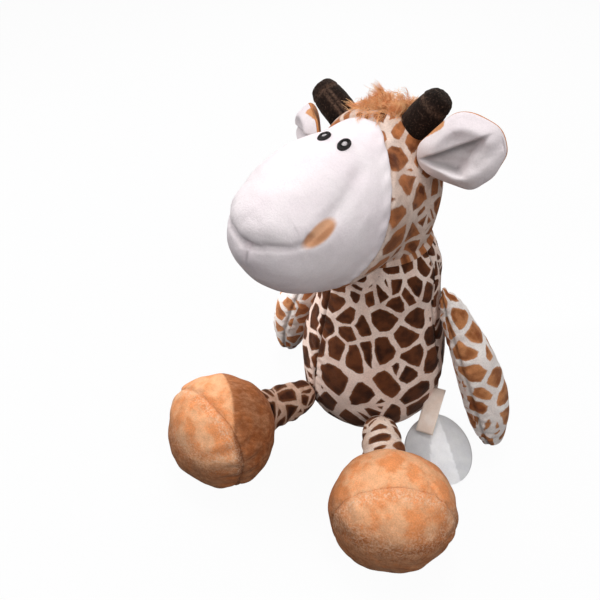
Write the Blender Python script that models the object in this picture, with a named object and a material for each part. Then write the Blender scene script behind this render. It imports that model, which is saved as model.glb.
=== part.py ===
"""A sitting plush giraffe, sewn from panels over stuffing, in metres with +Z up.

The toy faces -Y and its own left side is +X. The origin is on the floor, under the
centre of the torso. Every limb hangs from an empty on the line that it turns about.
"""

import math

import bmesh
import bpy
from mathutils import Matrix, Vector

# cloth and seams
sewn_gap = 0.0003
skin_thickness = 0.0016
cut_overrun = 0.02
turn_slack = 0.0005
weld_distance = 0.00003
sharp_edge_degrees = 50.0
quarter_turn = math.pi / 2

# torso: a pear with a flat seat and a ball for a neck
belly_radius = 0.0425
belly_height = 0.0410
belly_fullness = 2.7
neck_radius = 0.0330
neck_pivot_height = 0.1050
seat_flat_depth = 0.0005
side_seam_forward = 0.0030
torso_segments = 32
torso_seat_rings = 7
torso_flank_rings = 4
torso_neck_rings = 6
pellet_bag_height = 0.0260
neck_cup_drop = 0.0120

# head: a barrel over the neck and a long snout in front
head_turn_degrees = -8.0
head_tilt_degrees = -8.0
head_lift_degrees = 10.0
head_barrel_bottom = 0.1120
head_barrel_length = 0.0780
head_barrel_half_width = 0.0315
head_barrel_half_depth = 0.0320
head_barrel_fullness = 0.62
head_barrel_forward = 0.0080
head_segments = 28
head_rings = 16
snout_length = 0.1160
snout_half_width = 0.0330
snout_half_height = 0.0350
snout_back = 0.0120
snout_height = 0.1500
snout_fullness = 0.80
snout_swell_shares = ((0.0, 0.94), (0.3, 1.0), (0.62, 1.0), (0.85, 0.97), (1.0, 0.96))
face_roll_degrees = 10.0
face_seam_forward = 0.0486
face_seam_lean_degrees = 18.0
brow_height = 0.1610
crown_seam_forward = 0.0200
mouth_rise = 0.0030
mouth_corner_forward = 0.0910
mouth_corner_rise = 0.0010
cheek_seam_rise = 0.0140

# eyes: raised embroidery
eye_half_width = 0.0031
eye_half_length = 0.0050
eye_half_depth = 0.0020
eye_spacing = 0.0106
eye_forward = 0.0550
eye_segments = 16
eye_rings = 10

# horns
horn_radius = 0.0080
horn_length = 0.0320
horn_cap_length = 0.0070
horn_spacing = 0.0310
horn_setback = -0.0100
horn_foot_height = 0.1720
left_horn_splay_degrees = 32.0
right_horn_splay_degrees = 38.0
horn_fullness = 0.45
horn_segments = 16
horn_rings = 16

# mane tuft
tuft_half_width = 0.0150
tuft_half_depth = 0.0110
tuft_foot_height = 0.1800
tuft_length = 0.0170
tuft_setback = -0.0060
tuft_fullness = 0.80
tuft_swell_shares = ((0.0, 1.0), (0.5, 0.8), (1.0, 0.4))
tuft_segments = 14
tuft_rings = 10

# ears
ear_length = 0.0390
ear_half_width = 0.0180
ear_half_thickness = 0.0062
ear_root_radius = 0.0048
ear_root_height = 0.1740
ear_forward = 0.0180
left_ear_rise_degrees = 14.0
right_ear_rise_degrees = -12.0
left_ear_swing_degrees = 12.0
right_ear_swing_degrees = 42.0
ear_fullness = 0.80
ear_swell_shares = ((0.0, 0.62), (0.22, 0.72), (0.58, 1.0), (0.86, 0.86), (1.0, 0.70))
ear_segments = 20
ear_rings = 12

# arms
arm_length = 0.1100
arm_half_width = 0.0140
arm_half_thickness = 0.0134
arm_bow = 0.0045
arm_root_half_thickness = 0.0020
shoulder_drop = 0.0030
shoulder_height = neck_pivot_height - shoulder_drop
left_arm_splay_degrees = 25.5
right_arm_splay_degrees = 18.0
left_arm_sweep_degrees = 0.0
right_arm_sweep_degrees = 9.0
arm_swell_shares = ((0.0, 0.40), (0.12, 0.62), (0.45, 0.90), (0.80, 1.0), (1.0, 0.94))
arm_fullness = 0.70
arm_segments = 16
arm_rings = 12

# legs
leg_radius = 0.0115
leg_height = 0.0285
leg_turnout_degrees = 30.5
leg_reach = 0.1010
leg_fullness = 0.5
leg_segments = 16
leg_rings = 12

# feet
foot_half_width = 0.0315
foot_half_length = 0.0290
foot_half_height = 0.0300
foot_fullness = 0.86
foot_segments = 24
foot_rings = 16
sole_seam_lean_degrees = 5.0
sole_seam_forward = 0.0060

# tail
tail_radius = 0.0045
tail_length = 0.0420
tail_height = 0.0320
tail_drop_degrees = 24.0
tail_tuft_radius = 0.0075
tail_tuft_length = 0.0220
tail_fullness = 0.5
tail_tuft_fullness = 0.8
tail_tuft_swell_shares = ((0.0, 0.7), (0.35, 1.0), (1.0, 0.5))
tail_segments = 12
tail_rings = 10

# labels in the left side seam
label_thickness = 0.0005
label_seam_height = 0.0240
label_azimuth_degrees = 57.0
label_slope_degrees = 25.0
label_tab_length = 0.0100
label_tab_width = 0.0050
round_label_radius = 0.0205
round_label_segments = 32
care_strip_width = 0.0100
care_strip_length = 0.0275
care_strip_lift = 0.0100
care_strip_step_out = 0.0020
care_strip_azimuth_degrees = 84.0
care_strip_slope_degrees = 36.0


def clear_scene():
    for thing in list(bpy.data.objects):
        bpy.data.objects.remove(thing, do_unlink=True)


def cloth(name, colour, roughness=0.95):
    material = bpy.data.materials.new(name)
    material.use_nodes = True
    shader = material.node_tree.nodes["Principled BSDF"]
    shader.inputs["Base Color"].default_value = (*colour, 1.0)
    shader.inputs["Roughness"].default_value = roughness
    shader.inputs["Metallic"].default_value = 0.0
    return material


def add_object(name, mesh_data, material=None, parent=None):
    mesh = bpy.data.meshes.new(name)
    bmesh.ops.recalc_face_normals(mesh_data, faces=mesh_data.faces)
    mesh_data.to_mesh(mesh)
    mesh_data.free()
    made = bpy.data.objects.new(name, mesh)
    bpy.context.collection.objects.link(made)
    if material:
        mesh.materials.append(material)
        mesh.shade_smooth()
        mesh.set_sharp_from_angle(angle=math.radians(sharp_edge_degrees))
    else:
        made.hide_render = True
        made.display_type = "WIRE"
    if parent:
        made.parent = parent
        made.location = -parent.location
    return made


def add_joint(name, place):
    joint = bpy.data.objects.new(name, None)
    bpy.context.collection.objects.link(joint)
    joint.location = place
    return joint


def carve(target, tool, operation="DIFFERENCE"):
    change = target.modifiers.new(tool.name, "BOOLEAN")
    change.object = tool
    change.operation = operation
    change.solver = "EXACT"
    return target


def share_at(stations, along):
    """Smooth share between the stations, by a cubic through their values."""
    last = len(stations) - 2
    index = max(0, min(last, sum(1 for station in stations[1:-1] if along > station[0])))
    (start, low), (end, high) = stations[index], stations[index + 1]
    before = stations[max(0, index - 1)]
    after = stations[min(len(stations) - 1, index + 2)]
    span = end - start
    slope_in = (high - before[1]) / (end - before[0]) * span
    slope_out = (after[1] - low) / (after[0] - start) * span
    t = (along - start) / span
    return (
        low * (2 * t**3 - 3 * t**2 + 1)
        + slope_in * (t**3 - 2 * t**2 + t)
        + high * (3 * t**2 - 2 * t**3)
        + slope_out * (t**3 - t**2)
    )


even_shares = ((0.0, 1.0), (1.0, 1.0))


def stuffed_form(
    length, half_width, half_depth, segments, rings, fullness=1.0, shares=even_shares, inset=0.0, bow=0.0
):
    """A ball drawn out along +Z from its root, fuller at the ends as fullness drops below 1.

    The inset shrinks it on every side, and the bow curves its middle towards +X.
    """
    form = bmesh.new()
    bmesh.ops.create_uvsphere(form, u_segments=segments, v_segments=rings, radius=1)
    for vert in form.verts:
        along = (1 + vert.co.z) / 2
        ring = min(1.0, math.hypot(vert.co.x, vert.co.y))
        fat = ring ** (fullness - 1) if ring > 0 else 0.0
        girth = fat * share_at(shares, along)
        vert.co.x *= girth * (half_width - inset)
        vert.co.x += bow * math.sin(math.pi * along)
        vert.co.y *= girth * (half_depth - inset)
        vert.co.z = inset + along * (length - 2 * inset)
    return form


def ball(radius, segments, rings, centre):
    form = bmesh.new()
    bmesh.ops.create_uvsphere(form, u_segments=segments, v_segments=rings, radius=radius)
    bmesh.ops.translate(form, verts=form.verts, vec=centre)
    return form


def slab(low, high):
    """A box between two corners."""
    form = bmesh.new()
    bmesh.ops.create_cube(form, size=1)
    low = Vector(low)
    high = Vector(high)
    size = high - low
    bmesh.ops.scale(form, verts=form.verts, vec=size)
    bmesh.ops.translate(form, verts=form.verts, vec=(low + high) / 2)
    return form


def cut_level(form, height):
    """Cut the form flat at a height and close it there."""
    geometry = form.verts[:] + form.edges[:] + form.faces[:]
    level = Vector((0, 0, height))
    cut = bmesh.ops.bisect_plane(form, geom=geometry, plane_co=level, plane_no=(0, 0, -1), clear_outer=True)
    rim = [item for item in cut["geom_cut"] if isinstance(item, bmesh.types.BMEdge)]
    bmesh.ops.edgeloop_fill(form, edges=rim)
    return form


def belly_radius_at(height):
    """Outer radius of the torso between its seat and its neck ball."""
    if height < belly_height:
        down = (belly_height - height) / (belly_height + seat_flat_depth)
        return belly_radius * (1 - down**belly_fullness) ** (1 / belly_fullness)
    up = (height - belly_height) / (neck_pivot_height - belly_height)
    ease = (1 - math.cos(math.pi * up)) / 2
    return belly_radius + (neck_radius - belly_radius) * ease


def torso_form(inset=0.0, segments=torso_segments):
    profile = [Vector((0, 0, inset - seat_flat_depth))]
    seat_drop = belly_height + seat_flat_depth - inset
    for step in range(1, torso_seat_rings + 1):
        turn = quarter_turn * step / torso_seat_rings
        height = belly_height - seat_drop * math.cos(turn) ** (2 / belly_fullness)
        radius = (belly_radius - inset) * math.sin(turn) ** (2 / belly_fullness)
        profile.append(Vector((radius, 0, height)))
    for step in range(1, torso_flank_rings + 1):
        height = belly_height + (neck_pivot_height - belly_height) * step / torso_flank_rings
        profile.append(Vector((belly_radius_at(height) - inset, 0, height)))
    dome_radius = neck_radius - inset
    for step in range(1, torso_neck_rings + 1):
        turn = quarter_turn * step / torso_neck_rings
        height = neck_pivot_height + dome_radius * math.sin(turn)
        profile.append(Vector((dome_radius * math.cos(turn), 0, height)))
    profile[-1].x = 0
    form = bmesh.new()
    points = [form.verts.new(point) for point in profile]
    edges = [form.edges.new(pair) for pair in zip(points, points[1:])]
    bmesh.ops.spin(
        form,
        geom=points + edges,
        axis=(0, 0, 1),
        cent=(0, 0, 0),
        angle=math.tau,
        steps=segments,
        use_merge=True,
    )
    bmesh.ops.remove_doubles(form, verts=form.verts, dist=weld_distance)
    return cut_level(form, inset)


def build_torso(prints, stuffing, pellets):
    lining = add_object("torso_lining_cutter", torso_form(skin_thickness, torso_segments // 2))
    half_gap = sewn_gap / 2
    reach = belly_radius + cut_overrun
    top = neck_pivot_height + neck_radius + cut_overrun
    panels = {
        "torso_front_left": ((half_gap, -reach, -cut_overrun), (reach, -side_seam_forward - half_gap, top)),
        "torso_front_right": ((-reach, -reach, -cut_overrun), (-half_gap, -side_seam_forward - half_gap, top)),
        "torso_back": ((-reach, half_gap - side_seam_forward, -cut_overrun), (reach, reach, top)),
    }
    for name, (low, high) in panels.items():
        panel = add_object(name, torso_form(), prints)
        carve(panel, lining)
        carve(panel, add_object(name + "_cutter", slab(low, high)), "INTERSECT")

    core_inset = skin_thickness + sewn_gap
    core = add_object("torso_stuffing", torso_form(core_inset, torso_segments // 2), stuffing)
    facet_loss = math.cos(math.pi / (torso_segments // 2)) * math.cos(math.pi / 4 / torso_neck_rings)
    cup_radius = neck_radius - core_inset
    neck_core_radius = cup_radius * facet_loss - turn_slack
    pivot = Vector((0, 0, neck_pivot_height))
    above = slab((-reach, -reach, neck_pivot_height - neck_cup_drop), (reach, reach, top))
    carve(core, add_object("neck_room_cutter", above))
    cup = ball(cup_radius, torso_segments // 2, 2 * torso_neck_rings, pivot)
    carve(core, add_object("neck_cup_cutter", cup))
    bag_top = pellet_bag_height + sewn_gap
    bag_room = slab((-reach, -reach, -cut_overrun), (reach, reach, bag_top))
    carve(core, add_object("pellet_room_cutter", bag_room))
    bag = add_object("pellet_bag", torso_form(core_inset, torso_segments // 2), pellets)
    above_bag = slab((-reach, -reach, pellet_bag_height), (reach, reach, top))
    carve(bag, add_object("pellet_top_cutter", above_bag))
    neck = add_joint("neck_pivot", pivot)
    neck_ball = ball(neck_core_radius, torso_segments, 4 * torso_neck_rings, pivot)
    add_object("neck_stuffing", neck_ball, stuffing, neck)
    return neck


def head_pose():
    """Where the straight head is turned, tilted and lifted to, about the neck pivot."""
    turn = Matrix.Rotation(math.radians(head_turn_degrees), 4, "Z")
    tilt = Matrix.Rotation(math.radians(head_tilt_degrees), 4, "Y")
    lift = Matrix.Rotation(-math.radians(head_lift_degrees), 4, "X")
    pivot = Matrix.Translation((0, 0, neck_pivot_height))
    return pivot @ turn @ tilt @ lift @ pivot.inverted()


def rolled(form):
    """The face sits turned a little about the snout's own axis, so its eyes lean to the left."""
    roll = Matrix.Rotation(math.radians(face_roll_degrees), 3, "Y")
    bmesh.ops.rotate(form, verts=form.verts, cent=(0, 0, snout_height), matrix=roll)
    return form


def posed(form):
    bmesh.ops.transform(form, matrix=head_pose(), verts=form.verts)
    return form


def barrel_form(inset, fineness):
    form = stuffed_form(
        head_barrel_length,
        head_barrel_half_width,
        head_barrel_half_depth,
        head_segments // fineness,
        head_rings // fineness,
        head_barrel_fullness,
        inset=inset,
    )
    bmesh.ops.translate(form, verts=form.verts, vec=(0, -head_barrel_forward, head_barrel_bottom))
    return posed(form)


def snout_form(inset, fineness):
    form = stuffed_form(
        snout_length,
        snout_half_width,
        snout_half_height,
        head_segments // fineness,
        head_rings // fineness,
        snout_fullness,
        snout_swell_shares,
        inset,
    )
    lay_down = Matrix.Rotation(quarter_turn, 3, "X")
    bmesh.ops.rotate(form, verts=form.verts, cent=(0, 0, 0), matrix=lay_down)
    bmesh.ops.translate(form, verts=form.verts, vec=(0, snout_back, snout_height))
    return posed(form)


def head_form(name, inset, material=None, parent=None, fineness=1):
    """Barrel and snout as one, with every second facet line left out at fineness 2."""
    head = add_object(name, barrel_form(inset, fineness), material, parent)
    carve(head, add_object(name + "_snout_cutter", snout_form(inset, fineness)), "UNION")
    return head


def across_head(outline):
    """A side outline of (forward, height) places, extruded across the whole head."""
    reach = snout_half_width + cut_overrun
    form = bmesh.new()
    side = form.faces.new([form.verts.new((-reach, -forward, height)) for forward, height in outline])
    grown = bmesh.ops.extrude_face_region(form, geom=[side])
    moved = [item for item in grown["geom"] if isinstance(item, bmesh.types.BMVert)]
    bmesh.ops.translate(form, verts=moved, vec=(2 * reach, 0, 0))
    bmesh.ops.recalc_face_normals(form, faces=form.faces)
    return form


def jaw_form(lift):
    """All below the mouth, which runs level to its corner and then climbs the cheek to the face seam."""
    mouth_level = snout_height + mouth_rise + lift
    corner_level = mouth_level + mouth_corner_rise
    cheek_level = corner_level + cheek_seam_rise
    seam = face_seam_forward - cut_overrun
    floor = head_barrel_bottom - cut_overrun
    outline = [
        (snout_length, floor),
        (seam, floor),
        (seam, cheek_level),
        (face_seam_forward, cheek_level),
        (mouth_corner_forward, corner_level),
        (snout_length, mouth_level),
    ]
    return posed(rolled(across_head(outline)))


def face_form(step_back):
    """All in front of the face seam, which leans back up to the brow and runs on over the crown."""
    seam = face_seam_forward - step_back
    crown = crown_seam_forward - step_back
    floor = head_barrel_bottom - cut_overrun
    crown_height = head_barrel_bottom + head_barrel_length
    seam_foot = seam + (brow_height - floor) * math.tan(math.radians(face_seam_lean_degrees))
    outline = [
        (snout_length, floor),
        (seam_foot, floor),
        (seam, brow_height),
        (crown, crown_height),
        (crown, crown_height + cut_overrun),
        (snout_length, crown_height + cut_overrun),
    ]
    return posed(across_head(outline))


def build_head(neck, prints, white, stuffing, black, horn_cloth, mane_cloth):
    segments = torso_segments
    rings = torso_segments // 2
    facet_loss = math.cos(math.pi / segments) * math.cos(math.pi / rings / 2)
    socket_radius = (neck_radius + sewn_gap) / facet_loss
    pivot = Vector((0, 0, neck_pivot_height))
    socket = add_object("neck_socket_cutter", ball(socket_radius, segments, rings, pivot))
    lining = head_form("head_lining_cutter", skin_thickness, fineness=2)
    half_gap = sewn_gap / 2
    in_front = add_object("face_seam_back_cutter", face_form(half_gap))
    ahead = add_object("face_seam_front_cutter", face_form(-half_gap))

    back = head_form("head_back", 0.0, prints, neck)
    carve(back, lining)
    carve(back, in_front)
    carve(back, socket)

    muzzle = head_form("muzzle_panel", 0.0, white, neck)
    carve(muzzle, lining)
    carve(muzzle, ahead, "INTERSECT")
    carve(muzzle, add_object("jaw_line_cutter", jaw_form(half_gap)))

    jaw = head_form("jaw_panel", 0.0, white, neck)
    carve(jaw, lining)
    carve(jaw, ahead, "INTERSECT")
    carve(jaw, add_object("jaw_cutter", jaw_form(-half_gap)), "INTERSECT")
    carve(jaw, socket)

    core = head_form("head_stuffing", skin_thickness + sewn_gap, stuffing, neck, 2)
    carve(core, socket)

    room = head_form("head_room_cutter", -sewn_gap)
    sides = (("left", 1, left_horn_splay_degrees), ("right", -1, right_horn_splay_degrees))
    for side, sign, horn_splay_degrees in sides:
        horn = stuffed_form(horn_length, horn_radius, horn_radius, horn_segments, horn_rings, horn_fullness)
        splay = Matrix.Rotation(math.radians(horn_splay_degrees) * sign, 4, "Y")
        foot = Matrix.Translation((sign * horn_spacing / 2, horn_setback, horn_foot_height))
        placed = head_pose() @ foot @ splay
        cap_start = horn_length - horn_cap_length
        shaft_room = slab((-cut_overrun, -cut_overrun, -cut_overrun), (cut_overrun, cut_overrun, cap_start))
        cap_room = slab(
            (-cut_overrun, -cut_overrun, cap_start + sewn_gap),
            (cut_overrun, cut_overrun, horn_length + cut_overrun),
        )
        for piece, space in (("horn_", shaft_room), ("horn_cap_", cap_room)):
            shape = horn.copy()
            bmesh.ops.transform(shape, matrix=placed, verts=shape.verts)
            bmesh.ops.transform(space, matrix=placed, verts=space.verts)
            made = add_object(piece + side, shape, horn_cloth, neck)
            carve(made, add_object(piece + side + "_cutter", space), "INTERSECT")
            if piece == "horn_":
                carve(made, room)
        horn.free()

        eye = bmesh.new()
        bmesh.ops.create_uvsphere(eye, u_segments=eye_segments, v_segments=eye_rings, radius=1)
        size = Matrix.Diagonal((eye_half_width, eye_half_length, eye_half_depth, 1))
        aside = eye_spacing / 2
        surface = snout_top_at(eye_forward, aside)
        fall = snout_top_at(eye_forward + eye_half_length, aside) - surface
        lean = snout_top_at(eye_forward, aside + eye_half_width) - surface
        outward = Vector((-sign * lean / eye_half_width, fall / eye_half_length, 1)).normalized()
        across = Vector((0, 1, 0)).cross(outward).normalized()
        face_out = Matrix((across, outward.cross(across), outward)).transposed().to_4x4()
        spot = Matrix.Translation((sign * aside, -eye_forward, surface))
        bmesh.ops.transform(eye, matrix=spot @ face_out @ size, verts=eye.verts)
        carve(add_object("eye_" + side, posed(rolled(eye)), black, neck), room)

    tuft = stuffed_form(
        tuft_length,
        tuft_half_width,
        tuft_half_depth,
        tuft_segments,
        tuft_rings,
        tuft_fullness,
        tuft_swell_shares,
    )
    bmesh.ops.translate(tuft, verts=tuft.verts, vec=(0, tuft_setback, tuft_foot_height))
    carve(add_object("mane_tuft", posed(tuft), mane_cloth, neck), room)


def snout_top_at(forward, aside):
    """Height of the snout's top at a distance forward of the neck and aside of the middle."""
    along = (forward + snout_back) / snout_length
    ring = math.sqrt(1 - (2 * along - 1) ** 2) ** snout_fullness * share_at(snout_swell_shares, along)
    rise = snout_half_height * math.sqrt(ring**2 - (aside / snout_half_width) ** 2)
    return snout_height + rise


def head_side_at(forward, height):
    """Outer half width of the head's barrel at a place on its side."""
    along = (height - head_barrel_bottom) / head_barrel_length
    girth = math.sqrt(1 - (2 * along - 1) ** 2) ** head_barrel_fullness
    ahead = (forward - head_barrel_forward) / head_barrel_half_depth
    return head_barrel_half_width * math.sqrt(girth**2 - ahead**2)


def build_ear(side, sign, rise_degrees, swing_degrees, tan, white, neck):
    aside = sign * (head_side_at(ear_forward, ear_root_height) + ear_root_radius)
    root = Vector((aside, -ear_forward, ear_root_height))
    joint = add_joint("ear_root_" + side, head_pose() @ root)
    rise = Matrix.Rotation(sign * (math.radians(rise_degrees) - quarter_turn), 4, "Y")
    swing = Matrix.Rotation(sign * math.radians(swing_degrees), 4, "Z")
    foot = Matrix.Translation((0, 0, -ear_root_radius))
    stand = head_pose() @ Matrix.Translation(root) @ swing @ rise.inverted() @ foot
    half_gap = sewn_gap / 2
    reach = ear_length + cut_overrun
    halves = {
        "ear_back_": (tan, (-reach, half_gap, -reach), (reach, reach, reach)),
        "ear_lining_": (white, (-reach, -reach, -reach), (reach, -half_gap, reach)),
    }
    for piece, (material, low, high) in halves.items():
        shape = stuffed_form(
            ear_length,
            ear_half_width,
            ear_half_thickness,
            ear_segments,
            ear_rings,
            ear_fullness,
            ear_swell_shares,
        )
        bmesh.ops.transform(shape, matrix=stand, verts=shape.verts)
        space = slab(low, high)
        bmesh.ops.transform(space, matrix=stand, verts=space.verts)
        made = add_object(piece + side, shape, material, joint)
        carve(made, add_object(piece + side + "_cutter", space), "INTERSECT")


def build_arm(side, sign, splay_degrees, sweep_degrees, prints, stuffing):
    out = belly_radius_at(shoulder_height) + arm_root_half_thickness + sewn_gap
    shoulder = Vector((sign * out, 0, shoulder_height))
    joint = add_joint("shoulder_" + side, shoulder)
    hang = Matrix.Rotation(math.pi - sign * math.radians(splay_degrees), 4, "Y")
    sweep = Matrix.Rotation(math.radians(sweep_degrees), 4, "X")
    stand = Matrix.Translation(shoulder) @ sweep @ hang @ Matrix.Translation((0, 0, -arm_root_half_thickness))

    def arm_form(inset, fineness=1):
        shape = stuffed_form(
            arm_length,
            arm_half_thickness,
            arm_half_width,
            arm_segments // fineness,
            arm_rings // fineness,
            arm_fullness,
            arm_swell_shares,
            inset,
            -sign * arm_bow,
        )
        bmesh.ops.transform(shape, matrix=stand, verts=shape.verts)
        return shape

    lining = add_object("arm_lining_cutter_" + side, arm_form(skin_thickness, 2))
    reach = arm_length + cut_overrun
    half_gap = sewn_gap / 2
    panels = {
        "arm_front_": ((-reach, -reach, -reach), (reach, -half_gap, reach)),
        "arm_back_": ((-reach, half_gap, -reach), (reach, reach, reach)),
    }
    for piece, (low, high) in panels.items():
        space = slab(low, high)
        bmesh.ops.transform(space, matrix=stand, verts=space.verts)
        panel = add_object(piece + side, arm_form(0.0), prints, joint)
        carve(panel, lining)
        carve(panel, add_object(piece + side + "_cutter", space), "INTERSECT")
    add_object("arm_stuffing_" + side, arm_form(skin_thickness + sewn_gap, 2), stuffing, joint)


def build_leg(side, sign, prints, tan, stuffing):
    turnout = Matrix.Rotation(sign * math.radians(leg_turnout_degrees), 4, "Z")
    hip_reach = belly_radius_at(leg_height) + leg_radius + sewn_gap
    hip = turnout @ Vector((0, -hip_reach, leg_height))
    joint = add_joint("hip_" + side, hip)
    foot_centre = turnout @ Vector((0, -leg_reach, foot_half_height - seat_flat_depth))
    lay = Matrix.Rotation(quarter_turn, 4, "X")

    def leg_form(inset, fineness=1):
        shape = stuffed_form(
            leg_reach - hip_reach + leg_radius,
            leg_radius,
            leg_radius,
            leg_segments // fineness,
            leg_rings // fineness,
            leg_fullness,
            inset=inset,
        )
        stand = Matrix.Translation(hip) @ turnout @ lay @ Matrix.Translation((0, 0, -leg_radius))
        bmesh.ops.transform(shape, matrix=stand, verts=shape.verts)
        return shape

    def foot_form(inset, level, fineness=1):
        shape = stuffed_form(
            2 * foot_half_height,
            foot_half_width,
            foot_half_length,
            foot_segments // fineness,
            foot_rings // fineness,
            foot_fullness,
            inset=inset,
        )
        stand = Matrix.Translation(foot_centre) @ turnout @ Matrix.Translation((0, 0, -foot_half_height))
        bmesh.ops.transform(shape, matrix=stand, verts=shape.verts)
        return cut_level(shape, level) if level is not None else shape

    foot_room = add_object("foot_room_cutter_" + side, foot_form(-sewn_gap, None))
    leg = add_object("leg_" + side, leg_form(0.0), prints, joint)
    carve(leg, add_object("leg_lining_cutter_" + side, leg_form(skin_thickness, 2)))
    carve(leg, foot_room)
    leg_core = add_object("leg_stuffing_" + side, leg_form(skin_thickness + sewn_gap, 2), stuffing, joint)
    carve(leg_core, foot_room)

    lining = add_object("foot_lining_cutter_" + side, foot_form(skin_thickness, skin_thickness, 2))
    lean = Matrix.Rotation(math.radians(sole_seam_lean_degrees) - quarter_turn, 4, "X")
    seam = Matrix.Translation(foot_centre) @ turnout @ Matrix.Translation((0, -sole_seam_forward, 0)) @ lean
    reach = 2 * foot_half_width + cut_overrun
    half_gap = sewn_gap / 2
    panels = {
        "foot_upper_": ((-reach, -reach, half_gap), (reach, reach, reach)),
        "foot_sole_": ((-reach, -reach, -reach), (reach, reach, -half_gap)),
    }
    for piece, (low, high) in panels.items():
        space = slab(low, high)
        bmesh.ops.transform(space, matrix=seam, verts=space.verts)
        panel = add_object(piece + side, foot_form(0.0, 0.0), tan, joint)
        carve(panel, lining)
        carve(panel, add_object(piece + side + "_cutter", space), "INTERSECT")
    core_inset = skin_thickness + sewn_gap
    add_object("foot_stuffing_" + side, foot_form(core_inset, core_inset, 2), stuffing, joint)


def build_tail(prints, mane_cloth):
    root = Vector((0, belly_radius_at(tail_height) + tail_radius + sewn_gap, tail_height))
    joint = add_joint("tail_root", root)
    point_back = Matrix.Rotation(-quarter_turn - math.radians(tail_drop_degrees), 4, "X")
    stand = Matrix.Translation(root) @ point_back @ Matrix.Translation((0, 0, -tail_radius))
    tail = stuffed_form(tail_length, tail_radius, tail_radius, tail_segments, tail_rings, tail_fullness)
    bmesh.ops.transform(tail, matrix=stand, verts=tail.verts)
    tuft_start = tail_length + sewn_gap
    tuft = stuffed_form(
        tail_tuft_length,
        tail_tuft_radius,
        tail_tuft_radius,
        tail_segments,
        tail_rings,
        tail_tuft_fullness,
        tail_tuft_swell_shares,
    )
    onward = stand @ Matrix.Translation((0, 0, tuft_start))
    bmesh.ops.transform(tuft, matrix=onward, verts=tuft.verts)
    add_object("tail", tail, prints, joint)
    add_object("tail_tuft", tuft, mane_cloth, joint)


def build_labels(label_cloth):
    seam_reach = belly_radius_at(label_seam_height) + sewn_gap
    seam = Vector((seam_reach, -side_seam_forward, label_seam_height))
    joint = add_joint("label_seam", seam)
    forward = Matrix.Rotation(-math.radians(label_azimuth_degrees), 4, "Z")
    slope = Matrix.Rotation(math.radians(label_slope_degrees), 4, "Y")
    stand = Matrix.Translation(seam) @ forward @ slope
    torso_room = add_object("torso_room_cutter", torso_form(-sewn_gap))
    half = label_thickness / 2

    disc = bmesh.new()
    bmesh.ops.create_cone(
        disc,
        cap_ends=True,
        segments=round_label_segments,
        radius1=round_label_radius,
        radius2=round_label_radius,
        depth=label_thickness,
    )
    bmesh.ops.translate(disc, verts=disc.verts, vec=(label_tab_length + round_label_radius, 0, 0))
    bmesh.ops.transform(disc, matrix=stand, verts=disc.verts)
    label = add_object("round_label", disc, label_cloth, joint)
    tab_end = label_tab_length + round_label_radius / 2
    tab = slab((-label_tab_width, -label_tab_width / 2, -half), (tab_end, label_tab_width / 2, half))
    bmesh.ops.transform(tab, matrix=stand, verts=tab.verts)
    carve(label, add_object("label_tab_cutter", tab), "UNION")
    carve(label, torso_room)

    above = seam + Vector((care_strip_step_out, 0, care_strip_lift))
    steeper = Matrix.Rotation(math.radians(care_strip_slope_degrees), 4, "Y")
    strip_forward = Matrix.Rotation(-math.radians(care_strip_azimuth_degrees), 4, "Z")
    strip_stand = Matrix.Translation(above) @ strip_forward @ steeper
    low = (-care_strip_step_out, -care_strip_width / 2, -half)
    strip = slab(low, (care_strip_length, care_strip_width / 2, half))
    bmesh.ops.transform(strip, matrix=strip_stand, verts=strip.verts)
    carve(add_object("care_strip", strip, label_cloth, joint), torso_room)


def main():
    clear_scene()
    prints = cloth("giraffe_print", (0.36, 0.16, 0.06))
    white = cloth("white_plush", (0.86, 0.80, 0.78))
    tan = cloth("tan_plush", (0.80, 0.42, 0.17))
    stuffing = cloth("fibre_stuffing", (0.90, 0.90, 0.88))
    pellets = cloth("pellets", (0.75, 0.75, 0.72), 0.6)
    black = cloth("black_embroidery", (0.01, 0.01, 0.01), 0.6)
    horn_cloth = cloth("dark_brown_plush", (0.055, 0.03, 0.02))
    mane_cloth = cloth("orange_pile", (0.72, 0.33, 0.12))
    label_cloth = cloth("label_satin", (0.82, 0.82, 0.80), 0.55)

    neck = build_torso(prints, stuffing, pellets)
    build_head(neck, prints, white, stuffing, black, horn_cloth, mane_cloth)
    build_ear("left", 1, left_ear_rise_degrees, left_ear_swing_degrees, tan, white, neck)
    build_ear("right", -1, right_ear_rise_degrees, right_ear_swing_degrees, tan, white, neck)
    build_arm("left", 1, left_arm_splay_degrees, left_arm_sweep_degrees, prints, stuffing)
    build_arm("right", -1, right_arm_splay_degrees, right_arm_sweep_degrees, prints, stuffing)
    build_leg("left", 1, prints, tan, stuffing)
    build_leg("right", -1, prints, tan, stuffing)
    build_tail(prints, mane_cloth)
    build_labels(label_cloth)


main()
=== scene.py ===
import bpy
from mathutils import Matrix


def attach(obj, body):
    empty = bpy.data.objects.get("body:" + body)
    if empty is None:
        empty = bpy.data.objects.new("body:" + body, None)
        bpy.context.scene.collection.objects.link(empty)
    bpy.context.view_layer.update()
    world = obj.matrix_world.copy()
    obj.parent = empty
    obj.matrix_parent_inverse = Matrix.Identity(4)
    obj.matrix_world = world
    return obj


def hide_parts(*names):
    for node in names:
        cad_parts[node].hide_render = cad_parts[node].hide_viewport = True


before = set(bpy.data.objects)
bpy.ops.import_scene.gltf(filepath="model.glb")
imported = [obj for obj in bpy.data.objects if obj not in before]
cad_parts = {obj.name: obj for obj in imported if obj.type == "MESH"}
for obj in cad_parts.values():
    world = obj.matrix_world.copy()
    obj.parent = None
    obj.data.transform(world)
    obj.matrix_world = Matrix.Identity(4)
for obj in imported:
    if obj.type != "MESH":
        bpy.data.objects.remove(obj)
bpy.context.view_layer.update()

import math

import bmesh
import bpy
import numpy as np
from mathutils import Matrix, Vector

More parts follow.
